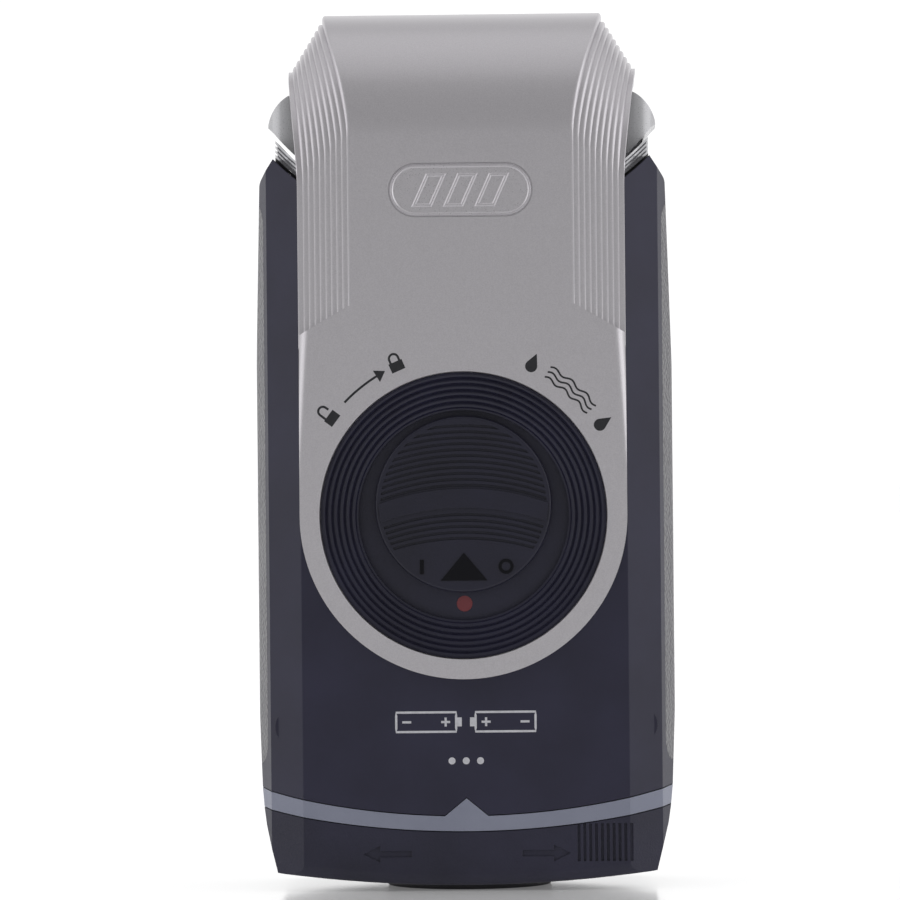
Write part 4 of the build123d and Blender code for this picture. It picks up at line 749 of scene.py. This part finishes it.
def turnArrow(mesh):
    radius = ink["hoodRadius"] - ink["arrowDrop"]
    first, last = 90 - ink["arrowFrom"], 90 - ink["arrowTo"]
    line = arcPoints((0, hood["pivotZ"]), radius, first, last, ink["arrowSteps"])
    inkPath(mesh, line, ink["hoodStroke"], hoodInk())
    inkPatch(mesh, onHoodArc(ink["arrowHead"], ink["arrowTo"]), hoodInk())


def waterDrop(mesh, degrees):
    # a round bottom drawn out to a point
    size = ink["dropSize"]
    outline = arcPoints((0, -size * ink["dropLow"]), size * ink["dropRound"], -205, 25, 18)
    outline.append((0, size * ink["dropTip"]))
    inkPatch(mesh, onHoodArc(outline, degrees), hoodInk())


def waterWaves(mesh):
    steps, first, last = ink["waveSteps"], ink["wavesFrom"], ink["wavesTo"]
    for level in (-1, 0, 1):
        points = []
        for index in range(steps + 1):
            share = index / steps
            angle = math.radians(first + (last - first) * share)
            wave = ink["waveHeight"] * math.sin(share * ink["waveCount"] * 2 * math.pi)
            reach = ink["hoodRadius"] + level * ink["wavePitch"] + wave
            points.append((reach * math.sin(angle), hood["pivotZ"] + reach * math.cos(angle)))
        inkPath(mesh, points, ink["waveStroke"], hoodInk())


def splitOutline(corners, pieces):
    # more points along straight sides, so that the line keeps its width at the corners
    points = []
    for first, second in zip(corners, corners[1:] + corners[:1]):
        for step in range(pieces):
            share = step / pieces
            across, up = second[0] - first[0], second[1] - first[1]
            points.append((first[0] + across * share, first[1] + up * share))
    return points


def batterySign(mesh, flip, front):
    # a cell seen from the side, with its plus end towards the middle
    z, x, stroke = ink["frontRowZ"], -flip * ink["cellX"], ink["frontStroke"]
    half, height, pole = ink["cellHalf"], ink["cellHeight"], ink["poleHalf"]
    can = [(x - half, z - height), (x + half, z - height), (x + half, z + height), (x - half, z + height)]
    inkPath(mesh, splitOutline(can, ink["sideSplit"]), stroke, front, closed=True)
    end = x + flip * (half + ink["nubGap"])
    tip = end + flip * ink["nub"]
    inkPatch(mesh, [(end, z - pole), (tip, z - pole), (tip, z + pole), (end, z + pole)], front)
    plus, minus = x + flip * ink["poleX"], x - flip * ink["poleX"]
    for middle in (plus, minus):
        inkPath(mesh, [(middle - pole, z), (middle + pole, z)], stroke, front)
    inkPath(mesh, [(plus, z + ink["poleGap"]), (plus, z + pole)], stroke, front)
    inkPath(mesh, [(plus, z - pole), (plus, z - ink["poleGap"])], stroke, front)


def printHoodSigns():
    mesh = bmesh.new()
    padlock(mesh, ink["openLock"], ink["bowRise"])
    turnArrow(mesh)
    padlock(mesh, ink["closedLock"], 0.0)
    waterDrop(mesh, ink["firstDrop"])
    waterWaves(mesh)
    waterDrop(mesh, ink["lastDrop"])
    signs = closedObject("hoodSigns", mesh)
    signs.data.materials.append(inkFinish("inkBlack", ink["black"]))
    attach(signs, "hood")


def printFrontSigns():
    mesh = bmesh.new()
    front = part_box("front_housing")[0].y - ink["thickness"]
    for flip in (1, -1):
        batterySign(mesh, flip, front)
    sides = ink["dotSides"]
    for side in (-1, 0, 1):
        centre = (side * ink["dotPitch"], ink["secondRowZ"])
        dot = arcPoints(centre, ink["dotRadius"], 0, 360 * (sides - 1) / sides, sides - 1)
        inkPatch(mesh, dot, front)
    signs = closedObject("frontSigns", mesh)
    signs.data.materials.append(inkFinish("inkPale", ink["pale"]))
    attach(signs, "body")


printHoodSigns()
printFrontSigns()
print("printed signs done")

# camera at the front, a long lens from about arm's length
shot = {
    "distance": 0.8, "aimX": -0.0021, "aimZ": 0.0589, "turn": 1.5, "lens": 236.0, "roll": 0.55,
    "sensor": 36, "nearest": 0.01,
}


def setCamera():
    data = bpy.data.cameras.new("camera")
    data.lens = shot["lens"]
    data.sensor_width = shot["sensor"]
    data.clip_start = shot["nearest"]
    camera = bpy.data.objects.new("camera", data)
    bpy.context.scene.collection.objects.link(camera)
    turn = math.radians(shot["turn"])
    aim = Vector((shot["aimX"], 0.0, shot["aimZ"]))
    camera.location = aim + Vector((math.sin(turn), -math.cos(turn), 0)) * shot["distance"]
    camera.rotation_euler = (math.radians(90), math.radians(shot["roll"]), turn)
    bpy.context.scene.camera = camera


setCamera()

# studio: white behind, greyer in front, so that dark plastic stays dark
studio = {
    "ramp": [(0.0, 0.32), (0.3, 0.37), (0.5, 0.50), (0.8, 0.55), (0.93, 0.95), (0.985, 1.08)],
    "sideGlow": 1.7, "sideGlowFrom": 0.55, "boxX": 1.1, "boxY": -0.35, "boxZ": 0.4, "aimZ": 0.06,
    "sideWidth": 1.0, "sideHeight": 1.2, "sideRight": 3.2, "sideLeft": 2.4,
    "topPlace": (0.0, -0.1, 1.2), "topAim": (0, -0.05, 0), "topWidth": 1.6, "topDepth": 1.2, "top": 1.6,
    "floorColour": (0.97, 0.97, 0.975), "floorRoughness": 0.12, "floorGlow": 0.12,
    "floorHalf": 6, "floorFront": -3, "floorBack": 9, "floorCloud": 6, "floorVary": 0.01,
}


def setWorld():
    # light from all round: its level follows how far behind the shaver it comes from
    world = bpy.data.worlds.new("studio")
    bpy.context.scene.world = world
    world.use_nodes = True
    tree = world.node_tree
    background = tree.nodes["Background"]
    direction = tree.nodes.new("ShaderNodeTexCoord")
    parts = tree.nodes.new("ShaderNodeSeparateXYZ")
    tree.links.new(direction.outputs["Generated"], parts.inputs["Vector"])
    fall = tree.nodes.new("ShaderNodeValToRGB")
    stops = fall.color_ramp.elements
    stops[0].position, stops[1].position = studio["ramp"][0][0], studio["ramp"][-1][0]
    for place, level in studio["ramp"][1:-1]:
        stops.new(place)
    for stop, (place, level) in zip(stops, studio["ramp"]):
        stop.color = (level, level, level, 1)
    depth = tree.nodes.new("ShaderNodeMapRange")
    depth.inputs["From Min"].default_value = -1.0
    tree.links.new(parts.outputs["Y"], depth.inputs["Value"])
    tree.links.new(depth.outputs["Result"], fall.inputs["Fac"])
    sideways = tree.nodes.new("ShaderNodeMath")
    sideways.operation = "ABSOLUTE"
    tree.links.new(parts.outputs["X"], sideways.inputs[0])
    glow = tree.nodes.new("ShaderNodeMapRange")
    glow.interpolation_type = "SMOOTHSTEP"
    glow.inputs["From Min"].default_value = studio["sideGlowFrom"]
    glow.inputs["To Min"].default_value = 1.0
    glow.inputs["To Max"].default_value = studio["sideGlow"]
    tree.links.new(sideways.outputs[0], glow.inputs["Value"])
    tree.links.new(fall.outputs["Color"], background.inputs["Color"])
    tree.links.new(glow.outputs["Result"], background.inputs["Strength"])


def softbox(name, place, target, width, height, power):
    data = bpy.data.lights.new(name, "AREA")
    data.shape = "RECTANGLE"
    data.size = width
    data.size_y = height
    data.energy = power
    lamp = bpy.data.objects.new(name, data)
    bpy.context.scene.collection.objects.link(lamp)
    lamp.location = place
    lamp.rotation_euler = (Vector(target) - Vector(place)).to_track_quat("-Z", "Y").to_euler()


def hangSoftboxes():
    for name, side in (("softboxRight", 1), ("softboxLeft", -1)):
        place = (side * studio["boxX"], studio["boxY"], studio["boxZ"])
        power = studio["sideRight"] if side > 0 else studio["sideLeft"]
        softbox(name, place, (0, 0, studio["aimZ"]), studio["sideWidth"], studio["sideHeight"], power)
    size = studio["topWidth"], studio["topDepth"]
    softbox("softboxTop", studio["topPlace"], studio["topAim"], *size, studio["top"])


def makeFloor():
    # a large pale acrylic sheet, faintly lit from below, that mirrors the foot of the shaver
    mesh = bmesh.new()
    half, front, back = studio["floorHalf"], studio["floorFront"], studio["floorBack"]
    corners = [(-half, front), (half, front), (half, back), (-half, back)]
    mesh.faces.new([mesh.verts.new((x, y, 0.0)) for x, y in corners])
    floor = meshObject("studioFloor", mesh)
    material, tree, shader, place = startMaterial("studioSheet")
    cloud = noise(tree, place, studio["floorCloud"], 2)
    pale = studio["floorColour"]
    shade = blendColours(tree, cloud, [c - studio["floorVary"] for c in pale], pale)
    tree.links.new(shade, shader.inputs["Base Color"])
    shader.inputs["Roughness"].default_value = studio["floorRoughness"]
    shader.inputs["Emission Color"].default_value = (1, 1, 1, 1)
    shader.inputs["Emission Strength"].default_value = studio["floorGlow"]
    floor.data.materials.append(material)


bpy.context.scene.view_settings.view_transform = "Standard"
setWorld()
hangSoftboxes()
makeFloor()
print("studio ready")
